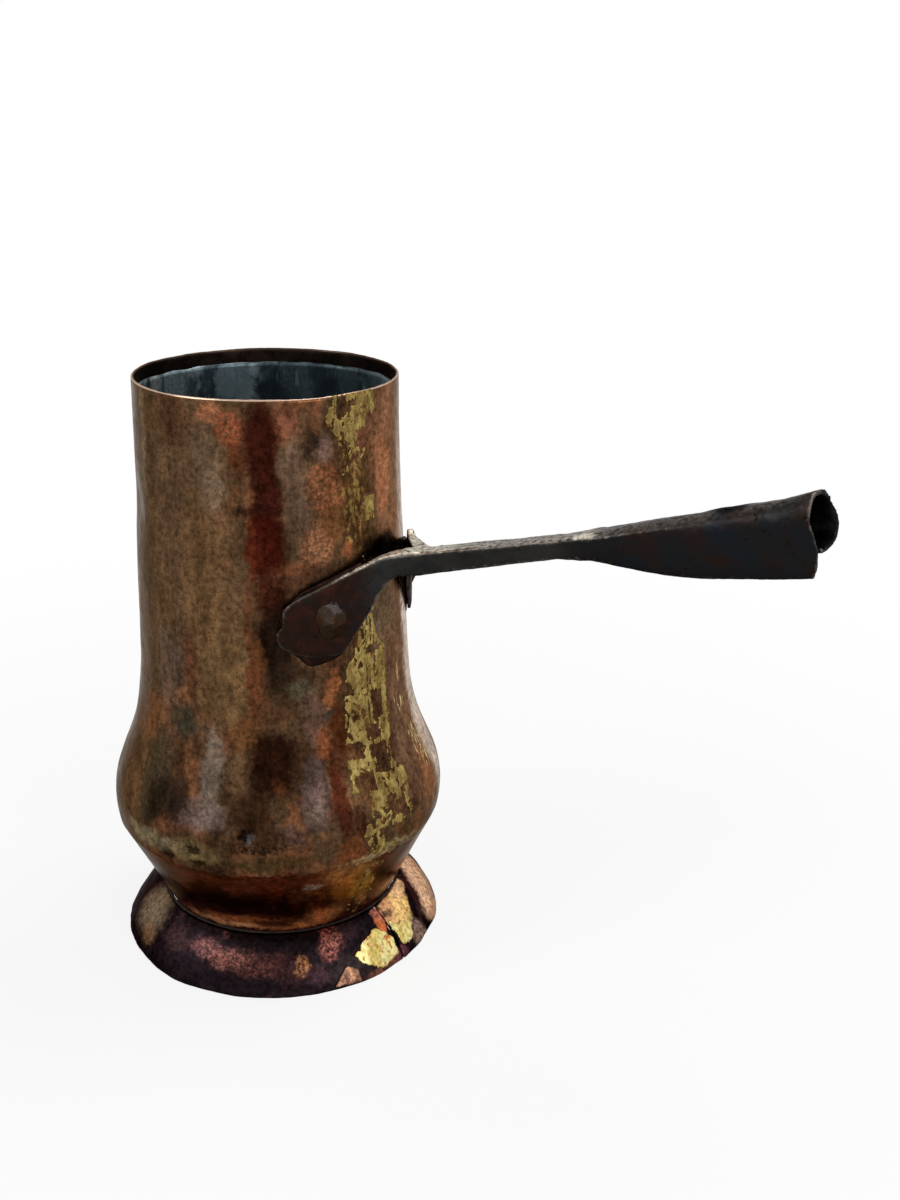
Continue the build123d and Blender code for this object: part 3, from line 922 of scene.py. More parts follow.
@dataclass
class Rivet:
    """A rivet with a hammered, uneven head outside and a low tail inside."""

    shape: LugShape
    side: Side
    head_radius: float = 5.4
    head_rise: float = 3.1
    tail_radius: float = 4.4
    tail_rise: float = 1.7
    shank_radius: float = 3.0
    burr: float = 1.12
    wall_inside: float = 46.8
    # how strongly the upward facets are rubbed and painted as lit from above
    rub_and_top_light: float = 3.0
    seed: float = 0.0
    # tilt and direction of each hammered flat, and its reach as a share of the rise
    facets: tuple[tuple[float, float, float], ...] = (
        (0.26, 0.6, 0.9), (0.55, 2.3, 1.02), (0.62, 3.9, 1.06), (0.52, 5.2, 1.00), (0.8, 1.3, 1.26),
        (0.9, 3.1, 1.34),
    )

    def profile(self, face: float) -> list[tuple[float, float]]:
        """The rivet's half outline.

        Args:
            face: Distance of the lug's face from the pot's axis.

        Returns:
            Distances from the pot's axis and radii, from the tail to the top of the head.
        """
        inside = self.wall_inside
        points = [(inside - self.tail_rise, 0.02)]
        for turn in np.radians((25, 50, 72, 86)):
            points.append((inside - self.tail_rise * math.cos(turn), self.tail_radius * math.sin(turn)))
        points += [(inside + 0.4, self.tail_radius * 0.98), (inside + 0.5, self.shank_radius)]
        burr = self.head_radius * self.burr
        points += [(face - 0.8, self.shank_radius), (face - 0.7, burr), (face + 0.1, burr)]
        points += [(face + 0.35, burr * 0.96), (face + 0.45, self.head_radius)]
        for turn in np.radians((12, 26, 40, 54, 66, 77, 85)):
            rise = 0.5 + (self.head_rise - 0.5) * math.sin(turn) ** 0.8
            points.append((face + rise, self.head_radius * math.cos(turn) ** 0.55))
        return [*points, (face + self.head_rise, 0.02)]

    def hammer(self, local: Array, face: float) -> None:
        """Chips the head and beats its flats.

        Args:
            local: Points as distance along the rivet's axis, across and up; they are changed.
            face: Where the head starts.
        """
        chips = unevenness(local, 2.4, 113.0 + self.seed) * 0.32
        chips += unevenness(local, 1.1, 117.0 + self.seed) * 0.12
        far = np.clip((local[..., 0] - face) / 1.0, 0, 1)
        local[..., 0] += np.minimum(chips * far, self.head_rise + face - local[..., 0])
        for tilt, spin, reach in self.facets:
            side = math.sin(tilt)
            lean = np.array([math.cos(tilt), side * math.cos(spin), side * math.sin(spin)])
            excess = np.clip((local - (face, 0, 0)) @ lean - reach * self.head_rise, 0, None)[..., None]
            local -= np.where(local[..., :1] > face + 0.1, excess * lean, 0)

    def build(self) -> Piece:
        """Makes the rivet as rings along its axis, and marks where it is rubbed and where its upward facets
        take painted light from above.
        """
        shape = self.shape
        face = shape.seat_radius + shape.thickness
        angle = np.radians(np.arange(0, 360, 7.5))
        circle = np.stack([np.cos(angle), np.sin(angle), angle * 0], -1) * 4
        rings = []
        for reach, radius in self.profile(face):
            outside = reach > face - 0.75
            torn = (0.17 if reach < face + 0.4 else 0.08) * unevenness(circle, 2.0, 121.0 + self.seed)
            lobe = 1 + (0.05 * np.cos(2 * angle + 1.3) + torn if outside else 0)
            across = radius * lobe * np.sin(angle) * (0.93 if outside else 1.0)
            up = radius * lobe * np.cos(angle) * (1.06 if outside else 1.0)
            rings.append(np.stack([np.full_like(across, reach), across, up], -1))
        local = np.stack(rings)
        self.hammer(local, face)
        turn = math.radians(shape.azimuth) * self.side.value
        x = local[..., 0] * math.cos(turn) - local[..., 1] * math.sin(turn)
        y = local[..., 0] * math.sin(turn) + local[..., 1] * math.cos(turn)
        z = local[..., 2] + shape.rivet_height
        rivet = tube(f"{self.side.name.lower()}_rivet_forged", np.stack([x, y, z], -1))
        mark_edges(rivet)
        mark_rub_and_top_light(rivet, lambda points: np.full(len(points), self.rub_and_top_light))
        return rivet


# ---- handle
@dataclass
class Handle:
    """The forged iron handle: two lugs, a square shank and a rolled socket."""

    shapes: dict[Side, LugShape]
    root_z: float = 156.3
    shank_end_x: float = 113.1
    shank_end_z: float = 169.7
    throat_x: float = 129.1
    mouth_x: float = 197.4
    tilt: float = 13.4
    root_size: tuple[float, float] = (9.5, 8.6)
    end_size: tuple[float, float] = (9.5, 7.0)
    throat_size: tuple[float, float] = (14.0, 10.4)
    mouth_size: tuple[float, float] = (27.4, 17.0)
    sheet: float = 1.5
    side_shift: float = 0.6
    # distance from the axis and height of the socket's crest, hanging edge and inner floor
    crest: Line = (
        (121, 175.6), (129.1, 178.6), (144.4, 184.2), (156.3, 188.2), (173.6, 193.8), (190, 199.4),
        (197.4, 201.6),
    )
    hem: Line = (
        (121, 167.9), (129.1, 168), (136, 167.9), (144, 168), (153, 168.5), (163, 169.6),
        (176, 172), (190, 174.6), (197.4, 176.2),
    )
    floor: Line = ((121.0, 168.6), (129.1, 169.3), (150.0, 173.8), (197.4, 182.4))
    # distance from the axis and how bright the top is rubbed and painted as lit from above there
    top_rub_and_light: Line = (
        (39, 0), (47, 1.9), (60, 2), (80, 1.3), (112, 1.2), (121, 1.3), (132, 0.8), (150, 0.7),
        (197.4, 0.95),
    )
    # distance from the axis of a painted highlight on a facet by the throat
    glint_x: float = 121.5
    roll_gap: float = 1.0
    nail_radius: float = 2.3
    nail_y: float = -3.4
    nail_setback: float = 29.0
    voxel: float = 0.5

    def centre_z(self, x: Array) -> Array:
        """Height of the handle's middle line."""
        throat_z = self.shank_end_z + (self.throat_x - self.shank_end_x) * math.tan(math.radians(self.tilt))
        mouth_z = throat_z + (self.mouth_x - self.throat_x) * math.tan(math.radians(self.tilt))
        stations = (self.shapes[Side.LEFT].root_x, self.shank_end_x, self.throat_x, self.mouth_x)
        return np.interp(x, stations, (self.root_z, self.shank_end_z, throat_z, mouth_z))

    def size_at(self, x: Array) -> tuple[Array, Array]:
        """Width and height of the handle at a distance from the axis."""
        stations = (self.shapes[Side.LEFT].root_x, self.shank_end_x, self.throat_x, self.mouth_x)
        sizes = np.array([self.root_size, self.end_size, self.throat_size, self.mouth_size])
        return np.interp(x, stations, sizes[:, 0]), np.interp(x, stations, sizes[:, 1])

    def build_shank(self) -> Piece:
        """Makes the square bar and the throat where it spreads."""
        stations = np.concatenate([np.arange(58.6, self.shank_end_x, 1.2), np.arange(113.2, 136.0, 1.0)])
        angle = np.radians(np.arange(0, 360, 7.5))
        rings = []
        for x in stations:
            width, height = self.size_at(x)
            spread = np.clip((x - self.shank_end_x) / (self.throat_x - self.shank_end_x), 0, 1)
            power = 9.0 + (2.9 - 9.0) * spread
            inset = 0.9 * np.clip((x - self.throat_x + 4) / 6, 0, 1)
            cosine, sine = np.cos(angle), np.sin(angle)
            radius = (np.abs(cosine) ** power + np.abs(sine) ** power) ** (-1 / power)
            y = (width / 2 - inset) * radius * cosine
            z = (height / 2 - inset) * radius * sine + self.centre_z(x)
            rings.append(np.stack([np.full_like(y, x), y, z], -1))
        return tube("shank", np.stack(rings))

    def roll_line(self, x: float) -> Array:
        """The rolled sheet's middle line at a distance from the axis.

        Args:
            x: The distance.

        Returns:
            Points as Y and height, from the hanging edge over the crest to the curled edge.
        """
        half = self.size_at(x)[0] / 2 - self.sheet / 2
        crest = float(np.interp(x, *np.array(self.crest).T)) - self.sheet / 2
        hem = float(np.interp(x, *np.array(self.hem).T)) + self.sheet / 2
        floor = float(np.interp(x, *np.array(self.floor).T)) + self.sheet / 2
        share = float(np.clip((x - self.throat_x) / (self.mouth_x - self.throat_x), 0, 1))
        square = (1 - share) ** 2
        far_top = crest - (crest - floor) * (0.29 - 0.22 * square)
        knots = np.array([
            (-half * 0.70, hem - 0.1),
            (-half * 0.92, hem + 0.7),
            (-half, hem + (floor - hem) * 0.6 + 2.2),
            (-half * 1.01, floor + (crest - floor) * 0.40),
            (-half * 0.97, floor + (crest - floor) * (0.68 + 0.12 * square)),
            (-half * (0.83 + 0.08 * square), crest - (crest - floor) * 0.12),
            (-half * 0.50, crest - (crest - floor) * 0.01),
            (half * 0.05, crest - (crest - floor) * (0.09 - 0.05 * square)),
            (half * (0.56 + 0.2 * square), far_top),
            (half * (0.88 + 0.08 * square), floor + (crest - floor) * (0.52 + 0.1 * square)),
            (half, floor + (crest - floor) * 0.24),
            (half * 0.86, floor + (crest - floor) * 0.04),
            (half * 0.45, floor - 0.1),
            (-half * 0.1, floor),
            (-half * 0.5, floor + 0.5),
            (-half * 0.8 + self.roll_gap * share, floor + 1.6),
        ])
        return smooth_line(knots, 5) + (self.side_shift * share, 0.0)

    def mouth_edge(self, line: Array) -> Array:
        """How far the mouth's edge is set back along the rolled sheet."""
        rise = np.clip((line[..., 1] - 186.0) / 8.0, 0, 1)
        near = np.clip(-line[..., 0] / 9.0, 0, 1)
        fall = np.clip((180.0 - line[..., 1]) / 4.0, 0, 1) ** 2
        return rise * (2.8 + 1.0 * near) + 1.6 * fall * near

    def build_roll(self) -> Piece:
        """Makes the rolled sheet of the socket with its nail hole."""
        stations = np.concatenate([np.arange(self.throat_x - 8.0, self.mouth_x - 1, 1.4), [self.mouth_x]])
        lines = np.stack([self.roll_line(x) for x in stations])
        along = np.gradient(lines, axis=1)
        along /= np.linalg.norm(along, axis=-1, keepdims=True)
        outwards = np.stack([-along[..., 1], along[..., 0]], -1)
        reach = np.broadcast_to(stations[:, None, None], (*lines.shape[:2], 1)).copy()
        share = np.clip((reach - (self.mouth_x - 14)) / 14, 0, 1)
        ripple = unevenness(np.concatenate([reach * 0, lines], -1), 6.0, 131.0)[..., None]
        reach -= share * (self.mouth_edge(lines)[..., None] + 0.25 + 0.4 * ripple)
        outer = np.concatenate([reach, lines + outwards * self.sheet / 2], -1)
        inner = np.concatenate([reach, lines - outwards * self.sheet / 2], -1)
        roll = slab("roll", outer, inner)
        nail_x = self.mouth_x - self.nail_setback
        angle = np.radians(np.arange(0, 360, 15))
        drill = []
        for rise in (0.0, 20.0):
            drill.append(np.stack([
                nail_x + self.nail_radius * np.cos(angle),
                self.nail_y + self.nail_radius * np.sin(angle),
                np.full_like(angle, float(self.centre_z(nail_x)) + rise),
            ], -1))
        cutter = tube("drill", np.stack(drill))
        cut = roll.modifiers.new("nail_hole", "BOOLEAN")
        cut.operation, cut.object, cut.solver = "DIFFERENCE", cutter, "EXACT"
        holed = evaluated_copy(roll, "roll")
        bpy.data.objects.remove(cutter)
        return holed

    def build(self) -> Piece:
        """Welds the parts into one forging and hammers its surface."""
        parts = [Lug(self.shapes[side], side).build() for side in Side]
        parts += [self.build_shank(), self.build_roll()]
        points, faces, start = [], [], 0
        for part in parts:
            own = vertices(part)
            points.append(own)
            faces += [tuple(start + number for number in polygon.vertices) for polygon in part.data.polygons]
            start += len(own)
            bpy.data.objects.remove(part)
        raw = mesh_object("forging", np.concatenate(points), faces)
        weld = raw.modifiers.new("weld", "REMESH")
        weld.mode, weld.voxel_size = "VOXEL", self.voxel * MM
        soften = raw.modifiers.new("soften", "SMOOTH")
        soften.factor, soften.iterations = 0.5, 4
        forged = evaluated_copy(raw, "forged_handle")
        forged.data.shade_smooth()
        low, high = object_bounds()
        self.hammer(forged, np.array(low) / MM, np.array(high) / MM)
        mark_edges(forged, bare=self.open_to_wear)
        mark_rub_and_top_light(forged, self.rubbed)
        return forged

    def open_to_wear(self, points: Array) -> Array:
        """Less than one where the nail hole, the mouth's lip and the socket's inside are kept from wear."""
        nail = np.hypot(points[:, 0] - self.mouth_x + self.nail_setback, points[:, 1] - self.nail_y)
        lip = np.clip((self.mouth_x - 3.5 - points[:, 0]) / 1.5, 0, 1)
        lip = np.maximum(lip, np.clip((-points[:, 1] - 1) / 3, 0, 0.6))
        return np.clip((nail - 3.6) / 3, 0, 1) * lip

    def rubbed(self, points: Array) -> Array:
        """How bright the upper faces are rubbed and painted as lit from above: most on the arms beside the
        pot, least on the socket, with a painted highlight on a facet by the throat.
        """
        place, amount = np.array(self.top_rub_and_light).T
        along = np.interp(points[:, 0], place, amount)
        corner = np.clip((points[:, 1] - 3.5) / 2, 0, 1) * np.clip((60 - points[:, 0]) / 4, 0, 1)
        glint = np.exp(-(((points[:, 0] - self.glint_x) / 3.0) ** 2)) * np.clip((-points[:, 1] - 2.2) / 2, 0, 1)
        on_socket = np.clip((points[:, 0] - 124) / 8, 0, 1)
        outside = points[:, 2] > self.centre_z(points[:, 0])
        fade = 1 - on_socket * (1 - outside * np.clip((points[:, 1] + 10) / 7, 0.12, 1))
        return (along * fade + 0.6 * corner + 2.2 * glint) * self.open_to_wear(points)

    def hammer(self, forged: Piece, low: Array, high: Array) -> None:
        """Moves the skin as hammer blows and scale did, inside the frame.

        Args:
            forged: The welded handle.
            low: The frame's lowest corner.
            high: The frame's highest corner.
        """
        points, normals = vertices(forged), vertex_normals(forged)
        moved = 0.26 * unevenness(points, 8.0, 141.0, (1.8, 1, 1)) + 0.12 * unevenness(points, 3.4, 143.0)
        moved += 0.05 * unevenness(points, 1.4, 149.0)
        nail = np.hypot(points[:, 0] - (self.mouth_x - self.nail_setback), points[:, 1] - self.nail_y - 2)
        on_top = points[:, 2] > self.centre_z(points[:, 0])
        moved += np.where(on_top & (points[:, 0] > 150), 0.4 * np.exp(-((nail - 4) ** 2) / 8), 0)
        points += normals * (moved - 0.05)[:, None]
        move_vertices(forged, np.clip(points, low, high))


# ---- shader building
class Graph:
    """Short calls for building one node tree."""

    def __init__(self, tree: Tree) -> None:
        """Starts on an empty tree."""
        self.tree = tree

    def node(self, kind: str, inputs: Values | None = None, **settings: object) -> bpy.types.Node:
        """Adds a node.

        Args:
            kind: The node's type name.
            inputs: Values or sockets for its inputs.
            settings: Properties to set first.

        Returns:
            The node.
        """
        made = self.tree.nodes.new(kind)
        for name, value in settings.items():
            setattr(made, name, value)
        for name, value in (inputs or {}).items():
            self.feed(made.inputs[name], value)
        return made

    def feed(self, socket: Socket, value: Value) -> None:
        """Links a socket into an input, or sets the input's own value."""
        if isinstance(value, Socket):
            self.tree.links.new(value, socket)
        else:
            socket.default_value = value

    def math(self, operation: str, *values: Value, clamp: bool = False) -> Socket:
        """A Math node's result."""
        inputs = dict(enumerate(values))
        return self.node("ShaderNodeMath", inputs, operation=operation, use_clamp=clamp).outputs[0]

    def times(self, first: Value, second: Value, clamp: bool = False) -> Socket:
        """Two values multiplied."""
        return self.math("MULTIPLY", first, second, clamp=clamp)

    def plus(self, first: Value, second: Value, clamp: bool = False) -> Socket:
        """Two values added."""
        return self.math("ADD", first, second, clamp=clamp)

    def minus(self, first: Value, second: Value) -> Socket:
        """The second value taken from the first."""
        return self.math("SUBTRACT", first, second)

    def vector(self, operation: str, *values: Value) -> Socket:
        """A Vector Math node's vector result."""
        return self.node("ShaderNodeVectorMath", dict(enumerate(values)), operation=operation).outputs[0]

    def scaled(self, vector: Value, amount: Value) -> Socket:
        """A vector made longer by an amount."""
        return self.node("ShaderNodeVectorMath", {0: vector, "Scale": amount}, operation="SCALE").outputs[0]

    def length(self, vector: Value) -> Socket:
        """A vector's length."""
        return self.node("ShaderNodeVectorMath", {0: vector}, operation="LENGTH").outputs["Value"]

    def split(self, vector: Value) -> Sequence[Socket]:
        """A vector's three coordinates."""
        return self.node("ShaderNodeSeparateXYZ", {0: vector}).outputs

    def joined(self, *values: Value) -> Socket:
        """A vector from coordinates."""
        return self.node("ShaderNodeCombineXYZ", dict(enumerate(values))).outputs[0]

    def noise(self, place: Value, scale: Value, detail: float = 3.0, rough: float = 0.55,
              warp: float = 0.0) -> Socket:
        """A Noise Texture node's value."""
        inputs = {"Vector": place, "Scale": scale, "Detail": detail, "Roughness": rough, "Distortion": warp}
        return self.node("ShaderNodeTexNoise", inputs).outputs[0]

    def between(self, value: Value, low: Value, high: Value) -> Socket:
        """How far a value lies between two limits, from 0 to 1, with soft ends."""
        inputs = {"Value": value, "From Min": low, "From Max": high}
        return self.node("ShaderNodeMapRange", inputs, interpolation_type="SMOOTHSTEP", clamp=True).outputs[0]

    def mix(self, mask: Value, first: Value, second: Value) -> Socket:
        """Two colours mixed by a mask."""
        return self.node("ShaderNodeMix", {0: mask, 6: first, 7: second}, data_type="RGBA").outputs[2]


def colour(code: str) -> tuple[float, ...]:
    """A linear colour from a hexadecimal sRGB code.

    Args:
        code: Six hexadecimal digits.

    Returns:
        Red, green, blue and alpha.
    """
    parts = [int(code[place : place + 2], 16) / 255 for place in (0, 2, 4)]
    linear = [part / 12.92 if part <= 0.04045 else ((part + 0.055) / 1.055) ** 2.4 for part in parts]
    return (*linear, 1.0)


class Effects:
    """Shader node groups that the finishes share."""

    def __init__(self) -> None:
        """Builds every group once."""
        self.place = self.build_place()
        self.warp = self.build_warp()
        self.mottle = self.build_mottle()
        self.stain = self.build_stain()
        self.pits = self.build_pits()
        self.scratch = self.build_scratch()
        self.wear = self.build_wear()
        self.planish = self.build_planish()

    def start(self, name: str, inputs: Values, outputs: Values) -> tuple[Graph, dict[str, Socket]]:
        """Makes an empty group with its sockets.

        Args:
            name: The group's name.
            inputs: Value of each input; a number makes a plain socket and three numbers a vector.
            outputs: Value of each output, in the same way.

        Returns:
            The graph, and the inputs' sockets by name.
        """
        tree = bpy.data.node_groups.new(name, "ShaderNodeTree")
        for way, ports in (("INPUT", inputs), ("OUTPUT", outputs)):
            for port, value in ports.items():
                kind = "NodeSocketFloat" if isinstance(value, float) else "NodeSocketVector"
                tree.interface.new_socket(name=port, in_out=way, socket_type=kind).default_value = value
        graph = Graph(tree)
        given = graph.node("NodeGroupInput").outputs
        return graph, {socket.name: socket for socket in given if socket.name}

    def end(self, graph: Graph, **results: Value) -> Tree:
        """Feeds a group's outputs."""
        graph.node("NodeGroupOutput", results)
        return graph.tree

    def build_place(self) -> Tree:
        """Place on the pot in millimetres: the point, and arc length and height round the axis."""
        graph, _ = self.start("Place On Pot", {}, {"Point": ORIGIN, "Arc": ORIGIN, "Height": 0.0})
        point = graph.scaled(graph.node("ShaderNodeTexCoord").outputs["Object"], 1 / MM)
        ahead, side, height = graph.split(point)
        turn = graph.math("ARCTAN2", graph.times(side, -1.0), ahead)
        arc = graph.joined(graph.times(turn, ARC_RADIUS), height)
        return self.end(graph, Point=point, Arc=arc, Height=height)

    def build_warp(self) -> Tree:
        """The arc place moved about by coarse and fine noise."""
        inputs = {"Point": ORIGIN, "Arc": ORIGIN, "Coarse": 5.0, "Fine": 2.6}
        graph, given = self.start("Warped Place", inputs, {"Place": ORIGIN})
        place = given["Arc"]
        for scale, amount in ((0.09, given["Coarse"]), (0.42, given["Fine"])):
            drift = graph.noise(given["Point"], scale, 5.0, 0.74).node.outputs["Color"]
            drift = graph.scaled(graph.vector("SUBTRACT", drift, (0.5, 0.5, 0.5)), amount)
            place = graph.vector("MULTIPLY_ADD", drift, (2, 2, 0), place)
        return self.end(graph, Place=graph.vector("MULTIPLY", place, (1, 1, 0)))

    def build_mottle(self) -> Tree:
        """A cloudy mask with a set share covered and a soft or hard edge."""
        inputs = {"Point": ORIGIN, "Stretch": (1, 1, 1)}
        inputs |= {"Size": 10.0, "Cover": 0.5, "Softness": 0.1, "Seed": 0.0}
        graph, given = self.start("Mottle", inputs, {"Mask": 0.0})
        place = graph.vector("DIVIDE", given["Point"], given["Stretch"])
        place = graph.vector("ADD", place, given["Seed"])
        cloud = graph.noise(place, graph.math("DIVIDE", 1.0, given["Size"]), 5.0, 0.62, 0.4)
        level = graph.minus(0.5, graph.times(graph.minus(given["Cover"], 0.5), 0.5))
        low = graph.minus(level, given["Softness"])
        return self.end(graph, Mask=graph.between(cloud, low, graph.plus(level, given["Softness"])))

    def build_stain(self) -> Tree:
        """An oval mask round a centre, with an edge that follows a warped place."""
        inputs = {"Place": ORIGIN, "Centre": ORIGIN, "Reach": (10, 10, 1)}
        inputs |= {"Edge": 0.35, "Lean": 0.0, "Strength": 1.0}
        graph, given = self.start("Stain", inputs, {"Mask": 0.0})
        offset = graph.vector("SUBTRACT", given["Place"], given["Centre"])
        slide = graph.joined(graph.times(graph.split(offset)[1], given["Lean"]))
        gap = graph.length(graph.vector("DIVIDE", graph.vector("SUBTRACT", offset, slide), given["Reach"]))
        inside = graph.between(gap, graph.plus(1.0, given["Edge"]), graph.minus(1.0, given["Edge"]))
        return self.end(graph, Mask=graph.times(inside, given["Strength"], clamp=True))

    def build_pits(self) -> Tree:
        """Small dark pits gathered in clouds."""
        inputs = {"Point": ORIGIN, "Size": 1.2, "Cover": 0.3, "Gather": 9.0}
        graph, given = self.start("Pits", inputs, {"Mask": 0.0})
        fine = graph.noise(given["Point"], graph.math("DIVIDE", 1.0, given["Size"]), 4.0, 0.7)
        cloud = graph.noise(given["Point"], graph.math("DIVIDE", 1.0, given["Gather"]), 2.0)
        level = graph.minus(0.82, graph.times(given["Cover"], 0.4))
        level = graph.minus(level, graph.times(graph.minus(cloud, 0.5), 0.5))
        return self.end(graph, Mask=graph.between(fine, level, graph.plus(level, 0.06)))

    def build_scratch(self) -> Tree:
        """Thin bright scratches, broken up along their length."""
        inputs = {"Point": ORIGIN, "Stretch": (1, 1, 30), "Size": 2.0, "Cover": 0.3}
        graph, given = self.start("Scratches", inputs, {"Mask": 0.0})
        place = graph.vector("DIVIDE", given["Point"], given["Stretch"])
        line = graph.noise(place, graph.math("DIVIDE", 1.0, given["Size"]), 2.0, 0.5, 0.6)
        gap = graph.math("ABSOLUTE", graph.minus(line, 0.5))
        thin = graph.between(gap, graph.times(given["Cover"], 0.05), 0.0)
        broken = graph.noise(given["Point"], 0.12, 2.0)
        return self.end(graph, Mask=graph.times(thin, graph.between(broken, 0.52, 0.66)))

    def build_wear(self) -> Tree:
        """A mask on ridges and corners that stand out, roughened by noise."""
        graph, given = self.start("Edge Wear", {"Point": ORIGIN, "Start": 0.02, "Full": 0.08}, {"Mask": 0.0})
        standing = graph.node("ShaderNodeAttribute", attribute_name="standing").outputs["Fac"]
        amount = graph.times(standing, graph.plus(graph.noise(given["Point"], 0.7), 0.5))
        return self.end(graph, Mask=graph.between(amount, given["Start"], given["Full"]))

    def build_planish(self) -> Tree:
        """The height of fine hammer marks and rolled grain."""
        graph, given = self.start("Hammer Marks", {"Point": ORIGIN, "Size": 4.0}, {"Height": 0.0})
        size = graph.math("DIVIDE", 1.0, given["Size"])
        inputs = {"Vector": given["Point"], "Scale": size, "Smoothness": 0.6}
        cells = graph.node("ShaderNodeTexVoronoi", inputs, feature="SMOOTH_F1").outputs["Distance"]
        grain = graph.noise(given["Point"], graph.times(size, 5.0))
        return self.end(graph, Height=graph.plus(cells, graph.times(grain, 0.35)))


@dataclass(frozen=True)
class Stain:
    """A coloured area, in degrees and millimetres; grain breaks it into specks."""

    azimuth: float
    height: float
    half_turn: float
    half_height: float
    code: str
    strength: float = 1.0
    edge: float = 0.35
    grain: float = 0.0
    lean: float = 0.0

    @property
    def centre(self) -> tuple[float, float, float]:
        """The centre as arc length and height."""
        turn = (self.azimuth + 180) % 360 - 180
        return (math.radians(turn) * ARC_RADIUS, self.height, 0.0)

    @property
    def reach(self) -> tuple[float, float, float]:
        """The half sizes as arc length and height."""
        return (math.radians(self.half_turn) * ARC_RADIUS, self.half_height, 1.0)


def stains(*rows: tuple[float | str, ...]) -> tuple[Stain, ...]:
    """Stains from rows of their fields."""
    return tuple(Stain(*row) for row in rows)


class Finish:
    """A material under construction: its graph, its place on the pot, its colour so far and its shader."""

    def __init__(self, name: str, effects: Effects, ground: str) -> None:
        """Starts a material with a plain colour.

        Args:
            name: The material's name.
            effects: The shared groups.
            ground: The colour that the others are laid over.
        """
        self.material = bpy.data.materials.new(name)
        self.material.use_nodes = True
        self.material.node_tree.nodes.clear()
        self.graph = Graph(self.material.node_tree)
        self.effects = effects
        self.base: Value = colour(ground)
        self.point, self.arc, self.height = self.effect(effects.place).node.outputs
        self.shader = self.graph.node("ShaderNodeBsdfPrincipled")
        self.graph.node("ShaderNodeOutputMaterial", {"Surface": self.shader.outputs[0]})

    def effect(self, tree: Tree, **values: Value) -> Socket:
        """Places a shared group with its own values and gives its first output."""
        return self.graph.node("ShaderNodeGroup", values, node_tree=tree).outputs[0]

    def mottle(self, size: float, cover: float, softness: float, seed: float,
               stretch: Sequence[float] = (1, 1, 1)) -> Socket:
        """A cloudy mask on this material's own point."""
        values = {"Point": self.point, "Size": size, "Cover": cover, "Softness": softness, "Seed": seed}
        return self.effect(self.effects.mottle, Stretch=stretch, **values)

    def scratches(self, stretch: Sequence[float], size: float, cover: float) -> Socket:
        """A mask of thin scratches."""
        return self.effect(self.effects.scratch, Point=self.point, Stretch=stretch, Size=size, Cover=cover)

    def marks(self, size: float) -> Socket:
        """The height of hammer marks."""
        return self.effect(self.effects.planish, Point=self.point, Size=size)

    def warped(self, coarse: float = 5.0, fine: float = 2.6) -> Socket:
        """The arc place, moved about by noise so that stains get ragged edges."""
        return self.effect(self.effects.warp, Point=self.point, Arc=self.arc, Coarse=coarse, Fine=fine)

    def oval(self, place: Socket, centre: Value, reach: Value, edge: float, strength: Value = 1.0,
             lean: float = 0.0) -> Socket:
        """A stain's mask on the warped place."""
        values = {"Centre": centre, "Reach": reach, "Edge": edge, "Strength": strength, "Lean": lean}
        return self.effect(self.effects.stain, Place=place, **values)

    def lay(self, mask: Value, code: str, share: float = 1.0) -> None:
        """Lays a share of a colour over the base, where a mask says."""
        if share != 1.0:
            mask = self.graph.times(mask, share)
        self.base = self.graph.mix(mask, self.base, colour(code))

    def lay_pits(self, size: float, cover: float, gather: float, code: str, share: float) -> Socket:
        """Lays small dark pits over the base.

        Args:
            size: The pits' size.
            cover: The share of the surface that they cover.
            gather: The size of their clouds.
            code: Their colour.
            share: How dark they are.

        Returns:
            The pits' mask.
        """
        pits = self.effect(self.effects.pits, Point=self.point, Size=size, Cover=cover, Gather=gather)
        self.lay(pits, code, share)
        return pits

    def lay_stains(self, stains: Sequence[Stain], place: Socket) -> None:
        """Lays stains over the base.

        Args:
            stains: The stains, lowest first.
            place: The warped place on the surface.
        """
        specks = self.mottle(1.1, 0.5, 0.06, 27.0)
        for stain in stains:
            strength: Value = stain.strength
            if stain.grain:
                kept = self.graph.math("MULTIPLY_ADD", specks, stain.grain, 1 - stain.grain)
                strength = self.graph.times(kept, stain.strength)
            mask = self.oval(place, stain.centre, stain.reach, stain.edge, strength, stain.lean)
            self.lay(mask, stain.code)

    def tone(self, cloud: Socket, calm: float, gain: float, least: float) -> None:
        """Multiplies the base by clouds, from the least tone up by a gain."""
        amount = self.graph.math("MULTIPLY_ADD", self.graph.between(cloud, calm, 1 - calm), gain, least)
        self.base = self.graph.vector("MULTIPLY", self.base, amount)

    def bump(self, height: Value, distance: float, strength: float) -> None:
        """Feeds a height in millimetres to the normal."""
        inputs = {"Height": height, "Distance": distance * MM, "Strength": strength}
        self.graph.feed(self.shader.inputs["Normal"], self.graph.node("ShaderNodeBump", inputs).outputs[0])

    def surface(self, roughness: Value, metallic: Value, edge: str) -> None:
        """Feeds the shader's main inputs.

        Args:
            roughness: The roughness.
            metallic: The share of metal.
            edge: The tint of glancing reflections, as hexadecimal sRGB.
        """
        values = {"Roughness": roughness, "Metallic": metallic, "Specular Tint": colour(edge)}
        for name, value in {"Base Color": self.base, **values}.items():
            self.graph.feed(self.shader.inputs[name], value)


